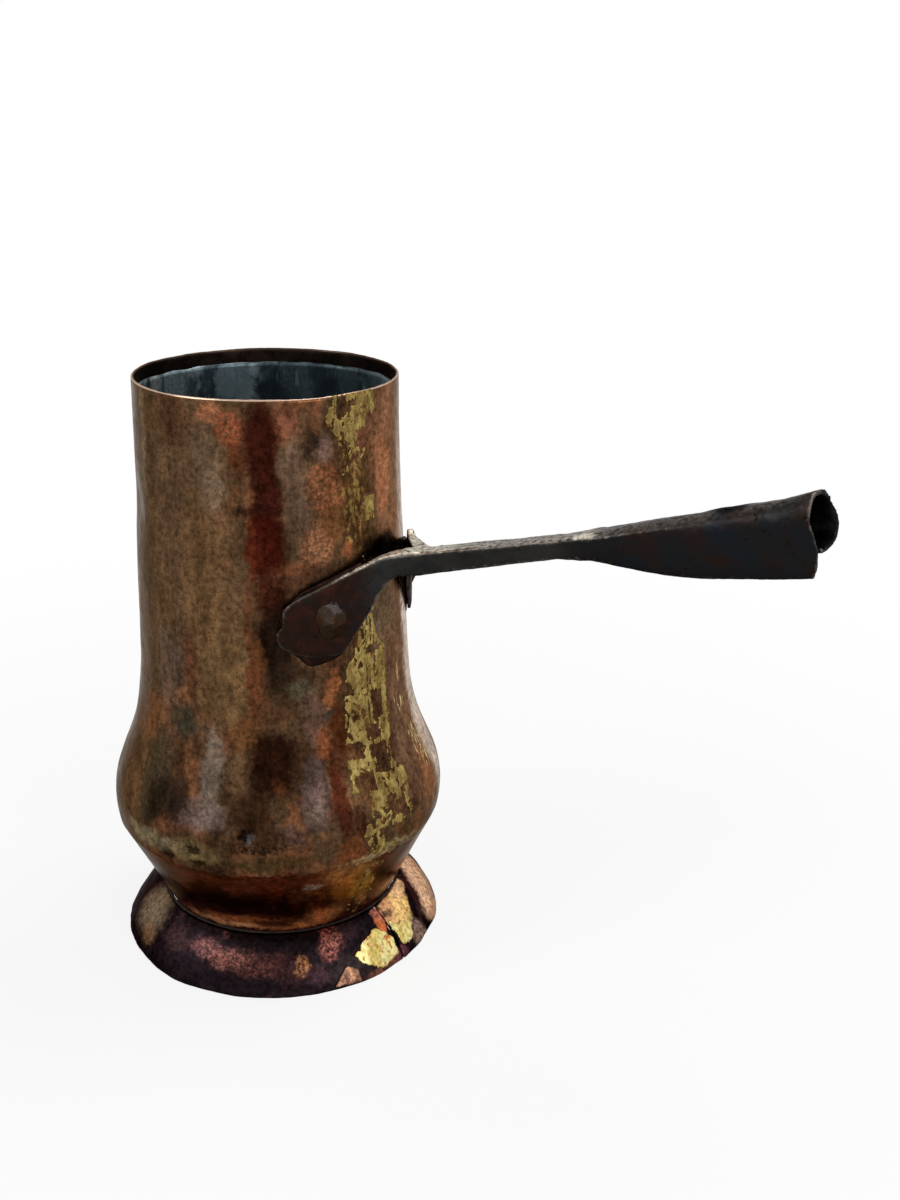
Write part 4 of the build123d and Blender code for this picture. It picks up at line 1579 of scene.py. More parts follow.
WALL_STAINS = stains(
    # broad tones, back to front, partly the patina's own colour and partly painted reflections of light and
    # dark surroundings
    (128, 175, 18, 55, "3f3226", 0.7, 0.5),
    (150, 95, 26, 60, "4a3322", 0.8, 0.5),
    (98, 175, 12, 45, "543f2d", 0.8, 0.5),
    # the stains at 84 and 76 degrees lay the pale painted reflection band near 80 degrees
    (84, 150, 9, 40, "63492f", 0.8, 0.4),
    (106, 118, 10, 14, "57463a", 0.8, 0.5),
    (76, 122, 12, 17, "6a5034", 0.9),
    (92, 124, 3.6, 10, "553424", 0.8, 0.4),
    # painted light on the right side, and a pale painted reflection down the right edge
    (-8, 186, 14, 40, "80593f", 0.9, 0.5),
    (-6, 100, 14, 46, "6d4f3c", 0.9, 0.5),
    (-23, 125, 7.5, 75, "e8d4c5", 0.9, 0.5),
    # upper wall
    (98, 206, 8, 9, "432c1d", 0.8, 0.4),
    # a pale painted reflection streak by the left edge
    (119, 200, 2.2, 16, "77654f", 0.6, 0.6),
    # the pale painted reflection band near 80 degrees, on the upper wall
    (81, 194, 6.5, 13, "66513d", 0.85, 0.45),
    (79, 184, 4, 6, "75614e", 0.6, 0.6),
    (87, 190, 7, 2.6, "49362a", 0.5, 0.6),
    (78.5, 210, 5, 3.6, "9c6345", 0.9, 0.5, 0.35),
    (70.5, 205, 6, 5.5, "8a4b30", 0.95, 0.45, 0.75),
    (68, 196, 3, 6, "4f2716", 0.85, 0.5, 0.4),
    # a dark painted reflection band down the wall near 57 degrees
    (58, 199, 7, 16, "32120b", 0.95),
    (57, 180, 6, 10, "391610", 0.9, 0.4),
    (58, 167, 7.5, 13, "3a120a", 0.95, 0.3),
    (63, 166, 1.6, 12, "562415", 0.8, 0.5),
    (62, 179, 9, 2.4, "24100a", 0.8, 0.5, 0, -0.6),
    (56, 150, 6, 9, "34150c", 0.9, 0.4),
    (48, 208, 5, 5, "744533", 0.85, 0.5, 0.2),
    # a grey-brown painted reflection band near 45 degrees
    (46, 192, 5, 9, "67503f", 0.9, 0.45),
    (44, 178, 5.5, 9, "5b4636", 0.9, 0.45),
    (37.5, 200, 3, 5, "271b16", 0.85, 0.6),
    (31.5, 198, 3.2, 4.6, "7d6155", 0.85, 0.6),
    (32, 184, 8, 9, "8c5638", 0.95, 0.3, 0.8),
    (36, 166, 7, 8, "8c5c40", 0.95, 0.35, 0.8),
    (28, 172, 6, 6, "6d4527", 0.8, 0.5, 0.5),
    (21.7, 163, 2.2, 4, "84492f", 0.85, 0.5),
    (45, 157, 10, 4.5, "6c3f28", 0.8, 0.4, 0.5),
    (13, 205, 5.5, 9, "6a4433", 0.8, 0.5),
    (0, 186, 5.5, 14, "9c6648", 0.95, 0.4, 0.2),
    (-4, 206, 4, 8, "8b5f49", 0.8, 0.5),
    # painted shadow on the wall behind the arm's root
    (8, 160, 7.5, 5, "33271c", 0.85, 0.45, 0.3),
    (17, 178, 6, 16, "5c3d24", 0.8, 0.4, 0.5),
    (0, 160, 1.5, 7, "5a4c45", 0.7, 0.5),
    # painted shadow along the lug's upper edge
    (30, 155, 22, 3.6, "2f2018", 0.6, 0.5),
    # beside and below the lug
    # the dark painted reflection band near 57 degrees, beside the lug
    (54, 131, 8, 15, "180f0a", 0.95),
    (62, 123, 2.6, 12, "5e3720", 0.8, 0.4),
    (50, 118, 9, 8, "332419", 0.85, 0.4),
    (45, 115, 6, 3, "4d4534", 0.8, 0.5),
    (3, 138, 10, 14, "5b4a3a", 0.85, 0.45),
    (32.5, 113, 2.4, 8, "87502f", 0.9, 0.4, 0.5, -0.15),
    (41, 105, 5, 10, "60473a", 0.85, 0.4),
    (37, 94, 3, 6, "7d4429", 0.85, 0.4, 0.5, 0.2),
    (33, 104.5, 2.6, 2.2, "2e302b", 0.9, 0.5),
    (56, 107, 7, 4, "4d3220", 0.7, 0.5),
    # belly
    (95, 101, 9, 6, "322f24", 0.85, 0.45),
    (106, 80, 7, 18, "3a3022", 0.9, 0.4),
    (101, 73, 5, 8, "211810", 0.9, 0.45),
    (69, 100, 5, 6, "643f22", 0.85, 0.4, 0.2),
    # the dark painted reflection band near 57 degrees, on the belly
    (58, 90, 10, 11, "1e0d07", 0.95),
    (94, 76, 4.5, 9, "2c2119", 0.9, 0.4),
    (30, 98, 4, 10, "48240f", 0.8, 0.4),
    # the pale painted reflection band near 80 degrees, on the belly
    (80.5, 87, 4.4, 14, "6f6053", 0.9, 0.45),
    (83, 71, 10, 5, "675750", 0.85, 0.45),
    (66, 74, 8, 8, "2a190f", 0.85, 0.45),
    (54.5, 82, 3, 2.6, "4d2a15", 0.8, 0.5, 0.3),
    # a grey-lilac painted highlight at 42 and 43 degrees
    (42.5, 79, 5.2, 12, "463833", 0.95, 0.22, 0.25, -0.16),
    (38, 72, 3.4, 6, "30211b", 0.75, 0.5),
    (43, 71, 4, 4, "57483f", 0.6, 0.5, 0.4),
    (52, 66, 4, 4, "3e302c", 0.8, 0.5),
    (33, 75, 3.2, 14, "3d1a0f", 0.9),
    (27, 66, 3, 6, "2c120b", 0.9),
    # an olive painted reflection above the crease
    (85, 57.5, 9, 4, "6d5a3a", 0.9, 0.4),
    (64, 62.5, 10, 2.4, "22170e", 0.85, 0.45, 0.6),
    # painted shade in the dents, with a painted highlight in the largest
    (67, 66.4, 2.4, 1.9, "120c0a", 0.95),
    (65.4, 65, 1.2, 1.2, "5d6062", 0.8, 0.6),
    (85.7, 58.9, 2.4, 1.4, "20150f", 0.9, 0.4),
    (83.5, 54, 3, 1.2, "22130d", 0.9, 0.4),
    (62, 61.6, 12, 1.2, "19110c", 0.75, 0.6, 0.8),
    # painted shade in a dent
    (95, 54.5, 3.4, 1.7, "1c110c", 0.85, 0.4),
    (60, 56, 13, 3, "47351f", 0.9, 0.4),
    (60, 66, 6, 4, "2c1a10", 0.7, 0.5),
    (93, 72, 4, 6, "241811", 0.8, 0.5),
    (31, 56, 5.5, 6.5, "6f3d22", 0.95, 0.35, 0.3),
    (14, 88, 11, 24, "3d2417", 0.85, 0.3, 0.2),
    # a painted highlight along the crease's edge
    (18, 52.2, 14, 1, "a3906c", 0.7, 0.6),
    # a painted highlight line down the wall
    (86, 128, 1.6, 30, "75573c", 0.5, 0.7),
    (65, 130, 1.4, 26, "5a2f1b", 0.7, 0.6),
    # a pale painted reflection above the crease at the left
    (104, 58, 12, 3.4, "8a7c60", 0.8, 0.5),
    (5, 64, 4, 3, "2f2119", 0.8, 0.5),
    # painted light on the right side of the belly
    (-12, 66, 6, 14, "8a5a3b", 0.8, 0.5),
    # the far side
    (204, 184, 16, 24, "7a5236", 0.9, 0.4, 0.4),
    (222, 160, 8, 50, "42190f", 0.9),
    (212, 206, 8, 7, "8c5233", 0.9, 0.4, 0.7),
    (236, 190, 8, 22, "6a5441", 0.9, 0.4),
    (246, 172, 8, 12, "8a5436", 0.95, 0.35, 0.8),
    (258, 200, 9, 13, "3a1b10", 0.9, 0.4),
    (266, 150, 9, 30, "5d4832", 0.85, 0.4),
    (240, 118, 14, 20, "2c1c13", 0.85, 0.4),
    (215, 104, 10, 18, "64452e", 0.85, 0.4),
    (228, 82, 9, 12, "56453d", 0.9),
    (204, 74, 8, 14, "30170d", 0.9, 0.4),
    (252, 76, 8, 14, "6e5f50", 0.85, 0.45),
    (270, 86, 8, 18, "3b2013", 0.9, 0.4),
    (284, 120, 9, 24, "6a4a33", 0.85, 0.4),
    (288, 184, 9, 18, "8f5f42", 0.9, 0.4, 0.5),
    (300, 158, 7, 20, "41210f", 0.85, 0.4),
    (296, 78, 9, 12, "4b3a30", 0.85, 0.4),
    (322, 140, 16, 10, "1d130e", 0.85, 0.4),
    (318, 92, 9, 22, "6f4f3a", 0.85, 0.4),
    (308, 200, 9, 11, "6f4734", 0.85, 0.4, 0.3),
    (240, 59, 24, 4, "6b5a3c", 0.85, 0.4),
    (290, 58, 18, 4, "3f2a1a", 0.85, 0.4),
    (165, 60, 10, 5, "5f4c31", 0.8, 0.4),
)

TIN_STAINS = stains(
    (186, 204, 9, 11, "7d8b8f", 0.9, 0.3, 0.5),
    (173, 206, 4, 6, "939b9c", 0.9, 0.4, 0.5),
    (219, 203, 9, 8, "6d7c82", 0.9, 0.2, 0.3),
    (236, 198, 5, 12, "232c30", 0.8, 0.4),
    (249, 203, 8, 9, "465357", 0.85, 0.4, 0.5),
    (262, 200, 5, 14, "222a2d", 0.8, 0.4),
    (278, 204, 7, 8, "3f4a4a", 0.85, 0.4, 0.5),
    (300, 206, 8, 7, "545f60", 0.85, 0.4, 0.5),
)

UNDER_STAINS = stains(
    (75, 46, 30, 3.4, "57271a", 0.9, 0.4),
    (72, 36, 16, 5.5, "2c110a", 0.95, 0.5),
    (60, 42, 5, 6, "551f10", 0.7, 0.6),
    (34, 38, 13, 13, "8c5833", 0.9, 0.4),
    (42, 38, 5, 8, "5f2f14", 0.85, 0.5),
    (23, 36, 5, 11, "a98443", 0.95, 0.4, 0.2, 0.3),
    (27, 42, 5, 3, "a8672f", 0.85, 0.5),
    (36, 47, 6, 2.4, "8c5a34", 0.8, 0.5),
    # a painted glowing reflection near the neck
    (72, 24, 18, 2.6, "b4653a", 0.9, 0.5),
    (82, 21, 20, 1.8, "e09a68", 0.9, 0.6),
    (52, 21, 14, 2, "c07040", 0.85, 0.6),
    (37, 25, 8, 4, "b8753f", 0.85, 0.5, 0.3),
    (60, 23, 9, 2.2, "2e120a", 0.85, 0.5),
    (45, 43, 4, 1.4, "8f7c70", 0.75, 0.6),
    (98, 44, 8, 5, "5d3624", 0.85, 0.5),
    # painted light on the right side
    (-10, 34, 14, 16, "a8704a", 0.85, 0.5),
    # a painted highlight along the crease's edge
    (18, 50.4, 14, 0.8, "a3906c", 0.7, 0.6),
    (215, 30, 26, 7, "6a3017", 0.85, 0.5),
    (262, 38, 18, 6, "2a110b", 0.85, 0.5),
    (300, 30, 18, 8, "84512e", 0.85, 0.5),
)

FOOT_STAINS = stains(
    (88, 12.4, 8, 2.2, "5a3936", 0.95, 0.5, 0.8),
    (76, 11, 9, 3, "6c443c", 0.95, 0.45, 0.8, -0.8),
    (64, 9, 8, 3.6, "57332f", 0.95, 0.45, 0.75, -0.9),
    (55, 7.5, 6, 4.8, "3b2424", 0.9, 0.5, 0.7),
    (49, 9, 2.6, 3.2, "91603f", 0.95, 0.35, 0.85),
    (44, 6, 4, 3, "3a272c", 0.8, 0.4, 0.5),
    (36, 14, 5, 4.4, "8d544a", 0.95, 0.35, 0.85, -0.3),
    (27, 15.5, 5, 2, "3b292c", 0.8, 0.5, 0.3),
    (128, 12.5, 11, 6, "7b6853", 0.9, 0.45, 0.2),
    (119, 7, 4, 2.6, "75553b", 0.8, 0.5, 0.4),
    (104, 12, 6, 3, "3d2a2a", 0.7, 0.5),
    (92, 6, 8, 4, "1a1217", 0.8, 0.5),
    (70, 3.5, 16, 2.6, "1b1419", 0.85, 0.5),
    (30, 5, 9, 4, "2a2222", 0.8, 0.5),
    # painted sunlight on the front right of the foot
    (-32, 10, 13, 9.5, "f3c19b", 0.98, 0.22, 0.35, -0.8),
    (-42, 8, 5, 6, "c48d69", 0.8, 0.4, 0.5, -0.8),
    (-2, 14.6, 11, 3.6, "e2a877", 0.98, 0.15, 0.3, -0.5),
    (-3.5, 12.4, 7, 5, "ecc47c", 0.98, 0.2, 0.5, -0.7),
    (-12, 16.6, 7, 2, "e9b888", 0.95, 0.2, 0.3),
    (9.5, 15.4, 3.4, 1.9, "b06a58", 0.9, 0.3, 0.4),
    (11.9, 12.6, 2.4, 2.3, "c96a3f", 0.98, 0.2, 0.2),
    # the handle's painted shadow across the painted sunlight
    (-17.4, 11.6, 2, 9.5, "33201e", 0.97, 0.2, 0, -0.87),
    (-5.4, 3.4, 4.4, 4.4, "a98a7a", 0.85, 0.4, 0.6),
    (5, 14.6, 3, 0.9, "2a1f1c", 0.9, 0.3, 0.4),
    (9, 2.4, 4, 2.2, "7a4450", 0.85, 0.5, 0.4),
    (18, 0.8, 9, 1.5, "7d4f40", 0.8, 0.5, 0.5),
    (170, 9, 12, 4, "5c3a33", 0.8, 0.6, 0.8, 0.8),
    (206, 11, 9, 2.6, "573630", 0.8, 0.6, 0.8, -1.2),
    (228, 7, 12, 3.4, "4c2e2b", 0.8, 0.6, 0.8, 0.9),
    (262, 12, 8, 3, "6a4638", 0.8, 0.5, 0.8, -0.8),
    (284, 6, 12, 3.6, "56362f", 0.8, 0.6, 0.8),
)


@dataclass(frozen=True)
class WallCopper:
    """Old hammered copper: brown patina, red bands, pale and dark painted reflections, painted shade and glow
    below the crease, and black pits.
    """

    name: str = "wall_copper"
    patina: str = "5a432e"
    deep: str = "3c281a"
    warm: str = "6b452d"
    # painted shade on the underside below the crease
    under_crease_shade: str = "3a170e"
    under_warm: str = "6b3520"
    edge: str = "c3a793"
    bare_inside: str = "40322b"
    brass_dust: str = "977c44"
    scribe: str = "ecd79a"
    pit: str = "100805"
    glancing: str = "cbc2ba"
    crease: float = 51.0
    top: float = 215.0
    inner_radius: float = 45.15

    def build(self, effects: Effects) -> Material:
        """Makes the material."""
        finish = Finish(self.name, effects, self.patina)
        graph = finish.graph
        place = finish.warped()
        finish.lay(finish.mottle(26, 0.5, 0.12, 4.0, (1, 1, 3)), self.deep)
        finish.lay(finish.mottle(15, 0.35, 0.07, 9.0, (1, 1, 2)), self.warm)
        finish.lay_stains(WALL_STAINS, place)
        self.dust(finish, place)
        under = self.shade_and_glow_below_crease(finish, place)
        tone = self.cloud(finish)
        pits = finish.lay_pits(2.0, 0.22, 9.0, self.pit, 0.8)
        self.bare(finish)
        lines = finish.scratches((1, 1, 26), 2.4, 0.8)
        finish.lay(graph.times(lines, finish.oval(place, (-9.5, 92, 0), (9, 30, 1), 0.4)), self.scribe)
        rough = graph.plus(0.22, graph.times(finish.mottle(7, 0.5, 0.2, 33.0), 0.12))
        rough = graph.minus(graph.plus(rough, graph.times(pits, 0.3)), graph.times(under, 0.08))
        neck = graph.between(finish.height, 34, 20)
        finish.surface(rough, graph.minus(1.0, graph.times(neck, 0.55)), self.glancing)
        height = graph.minus(graph.times(finish.marks(4.2), 0.5), graph.times(pits, 0.8))
        finish.bump(graph.plus(height, graph.times(tone, 0.8)), 0.12, 0.5)
        return finish.material

    def dust(self, finish: Finish, place: Socket) -> None:
        """Lays brass dust round the seam, most of it near the top."""
        graph = finish.graph
        dust = finish.oval(place, (14.5, 118, 0), (10, 100, 1), 0.3, 0.15)
        upper = finish.oval(place, (16.5, 184, 0), (4.5, 24, 1), 0.3)
        dust = graph.math("MAXIMUM", dust, graph.times(upper, 1.3), clamp=True)
        specks = finish.mottle(1.5, 0.42, 0.05, 15.0, (1, 1, 1.8))
        finish.lay(graph.times(dust, graph.times(specks, 0.7)), self.brass_dust)

    def shade_and_glow_below_crease(self, finish: Finish, place: Socket) -> Socket:
        """Makes the copper below the crease dark as painted shade, polished, and with a painted glowing
        reflection near the neck.

        Args:
            finish: The material under construction.
            place: The warped place on the wall.

        Returns:
            The mask of the wall below the crease.
        """
        above, finish.base = finish.base, colour(self.under_crease_shade)
        under = finish.graph.between(finish.graph.split(place)[1], self.crease + 0.5, self.crease - 0.4)
        finish.lay(finish.mottle(9, 0.4, 0.1, 21.0, (1.8, 1.8, 0.6)), self.under_warm)
        finish.lay_stains(UNDER_STAINS, place)
        finish.base = finish.graph.mix(under, above, finish.base)
        return under

    def cloud(self, finish: Finish) -> Socket:
        """Adds clouds of tone and dark scribed grain, and gives the fine tone."""
        graph = finish.graph
        fine = graph.noise(finish.point, 0.5, 7.0, 0.78)
        finish.tone(fine, 0.32, 1.1, 0.45)
        drawn = graph.vector("DIVIDE", finish.point, (1, 1, 2))
        finish.tone(graph.noise(drawn, 0.13, 5.0, 0.66), 0.3, 0.7, 0.65)
        finish.lay(finish.mottle(1.3, 0.3, 0.12, 25.0, (1, 1, 9)), "000000", 0.22)
        return fine

    def bare(self, finish: Finish) -> None:
        """Makes the rim's sawn edge bright, and the bare copper inside it nearly black."""
        graph = finish.graph
        radius = graph.length(graph.vector("MULTIPLY", finish.point, (1, 1, 0)))
        inner = graph.between(radius, self.inner_radius + 0.2, self.inner_radius)
        inner = graph.times(inner, graph.between(finish.height, self.top - 17, self.top - 15))
        finish.lay(inner, self.bare_inside)
        rim = graph.between(finish.height, self.top - 0.8, self.top - 0.5)
        finish.lay(graph.times(rim, graph.minus(1.0, inner)), self.edge)


@dataclass(frozen=True)
class SheetCopper:
    """Darkened sheet copper with coppery rubbed patches."""

    name: str
    dark: str
    middle: str
    rubbed: str
    cover: float = 0.2
    roughness: float = 0.38
    pit: str = "0b0606"
    glancing: str = "b3acac"
    stains: tuple[Stain, ...] = ()

    def build(self, effects: Effects) -> Material:
        """Makes the material."""
        finish = Finish(self.name, effects, self.dark)
        graph = finish.graph
        finish.lay(finish.mottle(12, 0.5, 0.12, 3.0), self.middle)
        cloud = finish.mottle(8, self.cover, 0.06, 12.0)
        finish.lay(graph.times(cloud, finish.mottle(1.5, 0.5, 0.08, 17.0)), self.rubbed)
        finish.lay_stains(self.stains, finish.warped(2.6, 1.7))
        tone = graph.noise(finish.point, 0.6, 5.0, 0.68)
        finish.tone(tone, 0.28, 1.1, 0.45)
        pits = finish.lay_pits(1.4, 0.3, 6.0, self.pit, 0.85)
        finish.surface(graph.plus(self.roughness, graph.times(pits, 0.25)), 1.0, self.glancing)
        height = graph.minus(graph.times(finish.marks(4.0), 0.6), graph.times(pits, 0.8))
        finish.bump(graph.plus(height, tone), 0.15, 0.55)
        return finish.material


@dataclass(frozen=True)
class SeamMetal:
    """Brass or solder: a pale metal with darker clouds, pits and copper showing through."""

    name: str
    bright: str
    dull: str
    dirt: str
    through: str
    roughness: float = 0.36
    metallic: float = 1.0
    speckle: float = 0.3
    glancing: str = "d2cab8"

    def build(self, effects: Effects) -> Material:
        """Makes the material."""
        finish = Finish(self.name, effects, self.bright)
        graph = finish.graph
        finish.lay(finish.mottle(5.0, 0.5, 0.15, 5.0, (1, 1, 2)), self.dull)
        finish.lay(finish.mottle(2.0, 0.32, 0.06, 19.0, (1, 1, 1.5)), self.through)
        drawn = graph.vector("DIVIDE", finish.point, (1, 1, 2))
        finish.tone(graph.noise(drawn, 0.8, 5.0, 0.7), 0.28, 0.8, 0.6)
        pits = finish.lay_pits(0.9, self.speckle, 5.0, self.dirt, 0.85)
        finish.surface(graph.plus(self.roughness, graph.times(pits, 0.3)), self.metallic, self.glancing)
        finish.bump(graph.minus(finish.marks(1.8), graph.times(pits, 0.8)), 0.1, 0.6)
        return finish.material


@dataclass(frozen=True)
class OldTin:
    """Tinning gone grey-blue, streaked down the wall and dark towards the floor."""

    name: str = "old_tin"
    pale: str = "7f8e93"
    middle: str = "48565b"
    dark: str = "202a2f"
    glancing: str = "8f979a"

    def build(self, effects: Effects) -> Material:
        """Makes the material."""
        finish = Finish(self.name, effects, self.middle)
        graph = finish.graph
        finish.lay(finish.mottle(9, 0.5, 0.14, 2.0, (1, 1, 2.4)), self.dark)
        finish.lay(finish.mottle(12, 0.34, 0.08, 6.0, (1, 1, 1.4)), self.pale)
        finish.lay_stains(TIN_STAINS, finish.warped())
        finish.lay(finish.scratches((1, 1, 22), 2.4, 0.9), self.pale, 0.45)
        pits = finish.lay_pits(1.4, 0.36, 10.0, self.dark, 0.7)
        finish.lay(graph.between(finish.height, 190, 40), self.dark, 0.6)
        finish.surface(graph.plus(0.42, graph.times(pits, 0.3)), 0.6, self.glancing)
        finish.bump(graph.minus(finish.marks(5.0), graph.times(pits, 0.5)), 0.15, 0.5)
        return finish.material


@dataclass(frozen=True)
class ForgedIron:
    """Blackened forged iron with scale, rust near the pot, bright worn ridges, and upper faces made pale by
    rubbing and by painted light from above.
    """

    name: str
    scale: str = "1a1b1b"
    blue: str = "171b21"
    rust: str = "241813"
    bar: str = "2b2a28"
    ember: str = "341c15"
    # pale rubbed colour, laid also as painted light on upward faces
    worn: str = "968d83"
    # brightest colour, laid on the most rubbed upward faces as a painted highlight as well as bare metal
    bare: str = "e4d9c4"
    pit: str = "0a0a0b"
    glancing: str = "a6a8ac"
    rust_cover: float = 0.34
    rust_to: float = 53.0
    calm_edges: float = 0.32
    roughness: float = 0.42

    def build(self, effects: Effects) -> Material:
        """Makes the material."""
        finish = Finish(self.name, effects, self.scale)
        graph = finish.graph
        near_pot = self.lay_scale(finish)
        wear = finish.effect(effects.wear, Point=finish.point, Start=0.012, Full=0.05)
        wear = graph.times(wear, graph.minus(0.5, graph.times(near_pot, self.calm_edges)))
        # rubbing together with painted light from above on upward faces
        rub_and_top_light = graph.node("ShaderNodeAttribute", attribute_name="rub_and_top_light").outputs["Fac"]
        grain = graph.between(graph.noise(finish.point, 0.6, 6.0, 0.72), 0.3, 0.66)
        wear = graph.math("MAXIMUM", wear, graph.times(rub_and_top_light, grain, clamp=True))
        finish.lay(wear, self.worn)
        bright = graph.times(graph.between(rub_and_top_light, 0.9, 1.8), grain)
        finish.lay(bright, self.bare)
        pits = finish.lay_pits(1.0, 0.4, 6.0, self.pit, 0.7)
        rough = graph.minus(graph.plus(self.roughness, graph.times(pits, 0.25)), graph.times(wear, 0.12))
        finish.surface(rough, graph.minus(0.95, graph.times(bright, 0.6)), self.glancing)
        finish.bump(graph.minus(finish.marks(2.6), graph.times(pits, 0.9)), 0.16, 0.7)
        return finish.material

    def lay_scale(self, finish: Finish) -> Socket:
        """Lays blue scale and rust, and gives the mask of the rusty end near the pot."""
        graph = finish.graph
        finish.lay(finish.mottle(16, 0.5, 0.14, 8.0, (2, 1, 1)), self.blue)
        finish.lay(finish.mottle(9, self.rust_cover, 0.2, 14.0), self.rust)
        away = graph.split(finish.point)[0]
        near_pot = graph.between(away, self.rust_to, self.rust_to - 8)
        on_bar = graph.minus(graph.between(away, 124, 110), near_pot)
        finish.lay(graph.times(on_bar, finish.mottle(7, 0.7, 0.25, 29.0, (2, 1, 1))), self.bar)
        finish.lay(graph.times(near_pot, finish.mottle(5, 0.75, 0.14, 18.0)), self.rust)
        finish.lay(graph.times(near_pot, finish.mottle(4.5, 0.42, 0.1, 27.0)), self.ember, 0.8)
        return near_pot


# ---- studio
@dataclass(frozen=True)
class Lamp:
    """A soft rectangular lamp that faces the pot."""

    name: str
    place: tuple[float, float, float]
    size: float
    power: float

    def build(self, target: Vector) -> None:
        """Adds the lamp to the scene."""
        data = bpy.data.lights.new(self.name, "AREA")
        data.shape = "SQUARE"
        data.size = self.size
        data.energy = self.power
        lamp = bpy.data.objects.new(self.name, data)
        lamp.location = self.place
        lamp.rotation_mode = "QUATERNION"
        lamp.rotation_quaternion = (target - lamp.location).to_track_quat("-Z", "Y")
        bpy.context.scene.collection.objects.link(lamp)


@dataclass(frozen=True)
class Studio:
    """A pale floor, soft lamps and the camera."""

    eye: tuple[float, float, float] = (0.27717, -0.39583, 0.31085)
    ahead: tuple[float, float, float] = (-0.4298, 0.8319, -0.3510)
    right: tuple[float, float, float] = (0.8864, 0.4628, 0.0116)
    lens: float = 41.88
    target: tuple[float, float, float] = (0.03, 0.0, 0.1)
    floor_half: float = 3.0
    near_white: float = 0.84
    glow: tuple[float, float] = (0.08, 0.4)
    ambient: float = 0.42
    lamps: tuple[Lamp, ...] = (
        Lamp("key", (-0.55, -0.75, 0.85), 0.5, 4.2),
        Lamp("fill", (0.95, -0.35, 0.55), 0.5, 2.0),
        Lamp("top", (0.25, 0.35, 1.1), 0.45, 4.0),
    )

    def build(self) -> None:
        """Makes the floor, the world, the lamps and the camera."""
        self.build_floor()
        self.build_world()
        for lamp in self.lamps:
            lamp.build(Vector(self.target))
        self.build_camera()

    def seen(self, graph: Graph) -> Socket:
        """1 for camera, glossy and transmission rays, and 0 for the rest."""
        path = graph.node("ShaderNodeLightPath")
        gloss = graph.plus(path.outputs["Is Glossy Ray"], path.outputs["Is Transmission Ray"])
        return graph.plus(path.outputs["Is Camera Ray"], gloss, clamp=True)

    def build_floor(self) -> None:
        """Makes the pale floor, which still takes the pot's shadow."""
        half = self.floor_half / MM
        corners = np.array([(-half, -half, 0), (half, -half, 0), (half, half, 0), (-half, half, 0)], float)
        floor = mesh_object("studio_floor", corners, [(0, 1, 2, 3)])
        material = bpy.data.materials.new("studio_floor")
        material.use_nodes = True
        material.node_tree.nodes.clear()
        graph = Graph(material.node_tree)
        matt = graph.node("ShaderNodeBsdfDiffuse", {"Color": (0.86, 0.86, 0.85, 1)})
        light = graph.node("ShaderNodeEmission", {"Color": (1, 1, 1, 1), "Strength": 1.0})
        spot = graph.node("ShaderNodeTexCoord").outputs["Object"]
        away = graph.length(spot)
        far = graph.between(away, 0.12, 0.5)
        plain = graph.math("MULTIPLY_ADD", far, 1 - self.near_white, self.near_white)
        path = graph.node("ShaderNodeLightPath")
        gloss = graph.times(path.outputs["Is Glossy Ray"], graph.between(away, *self.glow))
        share = graph.math("MULTIPLY_ADD", path.outputs["Is Camera Ray"], plain, gloss, clamp=True)
        mixed = graph.node("ShaderNodeMixShader", {0: share, 1: matt.outputs[0], 2: light.outputs[0]})
        graph.node("ShaderNodeOutputMaterial", {"Surface": mixed.outputs[0]})
        floor.data.materials.append(material)
        floor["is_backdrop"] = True

    def build_world(self) -> None:
        """Makes the white background and its even light."""
        world = bpy.data.worlds.new("studio")
        world.use_nodes = True
        world.node_tree.nodes.clear()
        graph = Graph(world.node_tree)
        strength = graph.plus(self.ambient, graph.times(self.seen(graph), 1 - self.ambient))
        back = graph.node("ShaderNodeBackground", {"Color": (1, 1, 1, 1), "Strength": strength})
        graph.node("ShaderNodeOutputWorld", {"Surface": back.outputs[0]})
        bpy.context.scene.world = world

    def build_camera(self) -> None:
        """Places the camera."""
        data = bpy.data.cameras.new("camera")
        data.lens = self.lens
        data.sensor_width = 36.0
        data.clip_start, data.clip_end = 0.01, 20.0
        camera = bpy.data.objects.new("camera", data)
        ahead = Vector(self.ahead).normalized()
        right = Vector(self.right).normalized()
        up = right.cross(ahead).normalized()
        turn = Matrix((right, up, -ahead)).transposed().to_4x4()
        camera.matrix_world = Matrix.Translation(self.eye) @ turn
        bpy.context.scene.collection.objects.link(camera)
        bpy.context.scene.camera = camera


# ---- assembly
class Materials:
    """Every finish of the pot, by slot."""

    def __init__(self) -> None:
        """Builds the materials."""
        effects = Effects()
        finishes = {
            Slot.WALL: WallCopper(),
            Slot.BASE: SheetCopper("base_copper", "241814", "3d2a20", "6b4632", 0.4),
            Slot.FOOT: SheetCopper("foot_copper", "161012", "231a1d", "412a2a", stains=FOOT_STAINS),
            Slot.BRASS: SeamMetal("seam_brass", "a38e53", "715c33", "2a1d10", "65401f", speckle=0.45),
            Slot.TIN: OldTin(),
            Slot.SOLDER: SeamMetal("grey_solder", "2a201c", "1a1312", "0c0a0a", "4a2c1c", 0.9, 0.0),
            Slot.IRON: ForgedIron("forged_iron"),
            Slot.PAD: ForgedIron("pad_iron", "100d0c", "15120f", "1d130e", rust_cover=0.6, rust_to=90.0),
            # the rivet's pale colour lies on its upward facets as painted light from above as well as rubbing
            Slot.RIVET: ForgedIron(
                "rivet_iron", "241c15", "2b2318", "33281a", worn="4b4542", bare="4b4542", rust_cover=0.4,
                rust_to=90.0, calm_edges=0.46,
            ),
        }
        self.by_slot = {slot: finish.build(effects) for slot, finish in finishes.items()}
        # the foot's brass is paler than the wall's, lightened as painted sunlight
        self.foot_brass = SeamMetal("foot_brass", "e8db98", "c9b35f", "3a2a18", "b9733c", 0.28).build(effects)
        self.clip_copper = SheetCopper("clip_copper", "6b4a3c", "8a6450", "b08468", 0.4).build(effects)


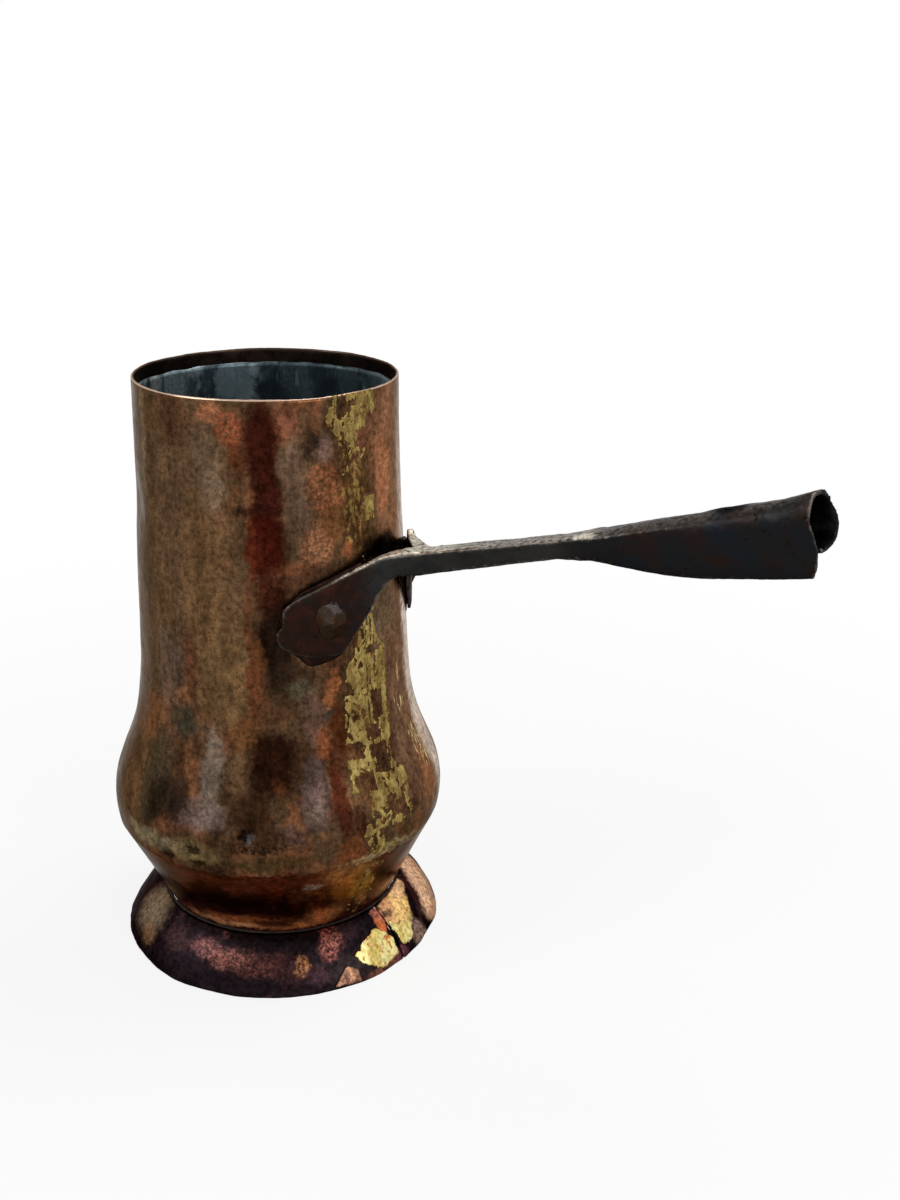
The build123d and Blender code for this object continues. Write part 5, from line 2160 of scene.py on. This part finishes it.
def main() -> None:
    """Builds the pot over the frame."""
    logging.basicConfig(level=logging.INFO, format="%(name)s: %(message)s")
    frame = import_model()
    nodes = frame["nodes"]
    materials = Materials()
    paint = materials.by_slot
    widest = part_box("body_wall")[1].x / MM - 0.01

    wall = PotWall(TurnedSurface(nodes["body_wall"], low=13.0, high=215.0, azimuth=180.0), widest)
    publish(wall.build_wall(), Slot.WALL, paint[Slot.WALL], "body_wall")
    publish(wall.build_lining(), Slot.TIN, paint[Slot.TIN], "tin_lining")
    publish(SeamBrass().build(wall), Slot.BRASS, paint[Slot.BRASS], "wall_seam_braze")

    foot = Foot(TurnedSurface(nodes["foot_skirt"], low=0.0, high=17.6, azimuth=180.0), widest)
    publish(foot.build_skirt(), Slot.FOOT, paint[Slot.FOOT], "foot_skirt")
    for patch in FOOT_PATCHES:
        dress = materials.foot_brass if patch.slot is Slot.BRASS else materials.clip_copper
        publish(patch.build(foot), patch.slot, dress, *patch.nodes)
    publish(NeckSolder(wall).build(), Slot.SOLDER, paint[Slot.SOLDER], "neck_solder")

    # the right lug is thinner and has a turned-up corner
    corner = (*LugShape.top[:11], (-15.8, 160.6), (-18.6, 163.0), (-22.0, 161.4), *LugShape.top[-2:])
    shapes = {Side.LEFT: LugShape(), Side.RIGHT: LugShape(seat_radius=48.8, thickness=1.8, top=corner)}
    rises = {Side.LEFT: 3.1, Side.RIGHT: 2.0}
    for side, shape in shapes.items():
        name = side.name.lower()
        publish(Lug(shape, side).build_pad(wall), Slot.PAD, paint[Slot.PAD], f"{name}_lug_pad")
        rivet = Rivet(shape, side, head_rise=rises[side], seed=1.7 * side.value).build()
        publish(rivet, Slot.RIVET, paint[Slot.RIVET], f"{name}_rivet")
    publish(Handle(shapes).build(), Slot.IRON, paint[Slot.IRON], "handle_iron")

    for name, slot in (("base_disc", Slot.BASE), ("base_braze", Slot.BRASS)):
        nodes[name].data.materials.clear()
        nodes[name].data.materials.append(paint[slot])
        log.info("%s: frame node, %s", name, slot.value)

    Studio().build()
    bpy.context.scene.view_settings.view_transform = "Standard"


if __name__ == "__main__":
    main()
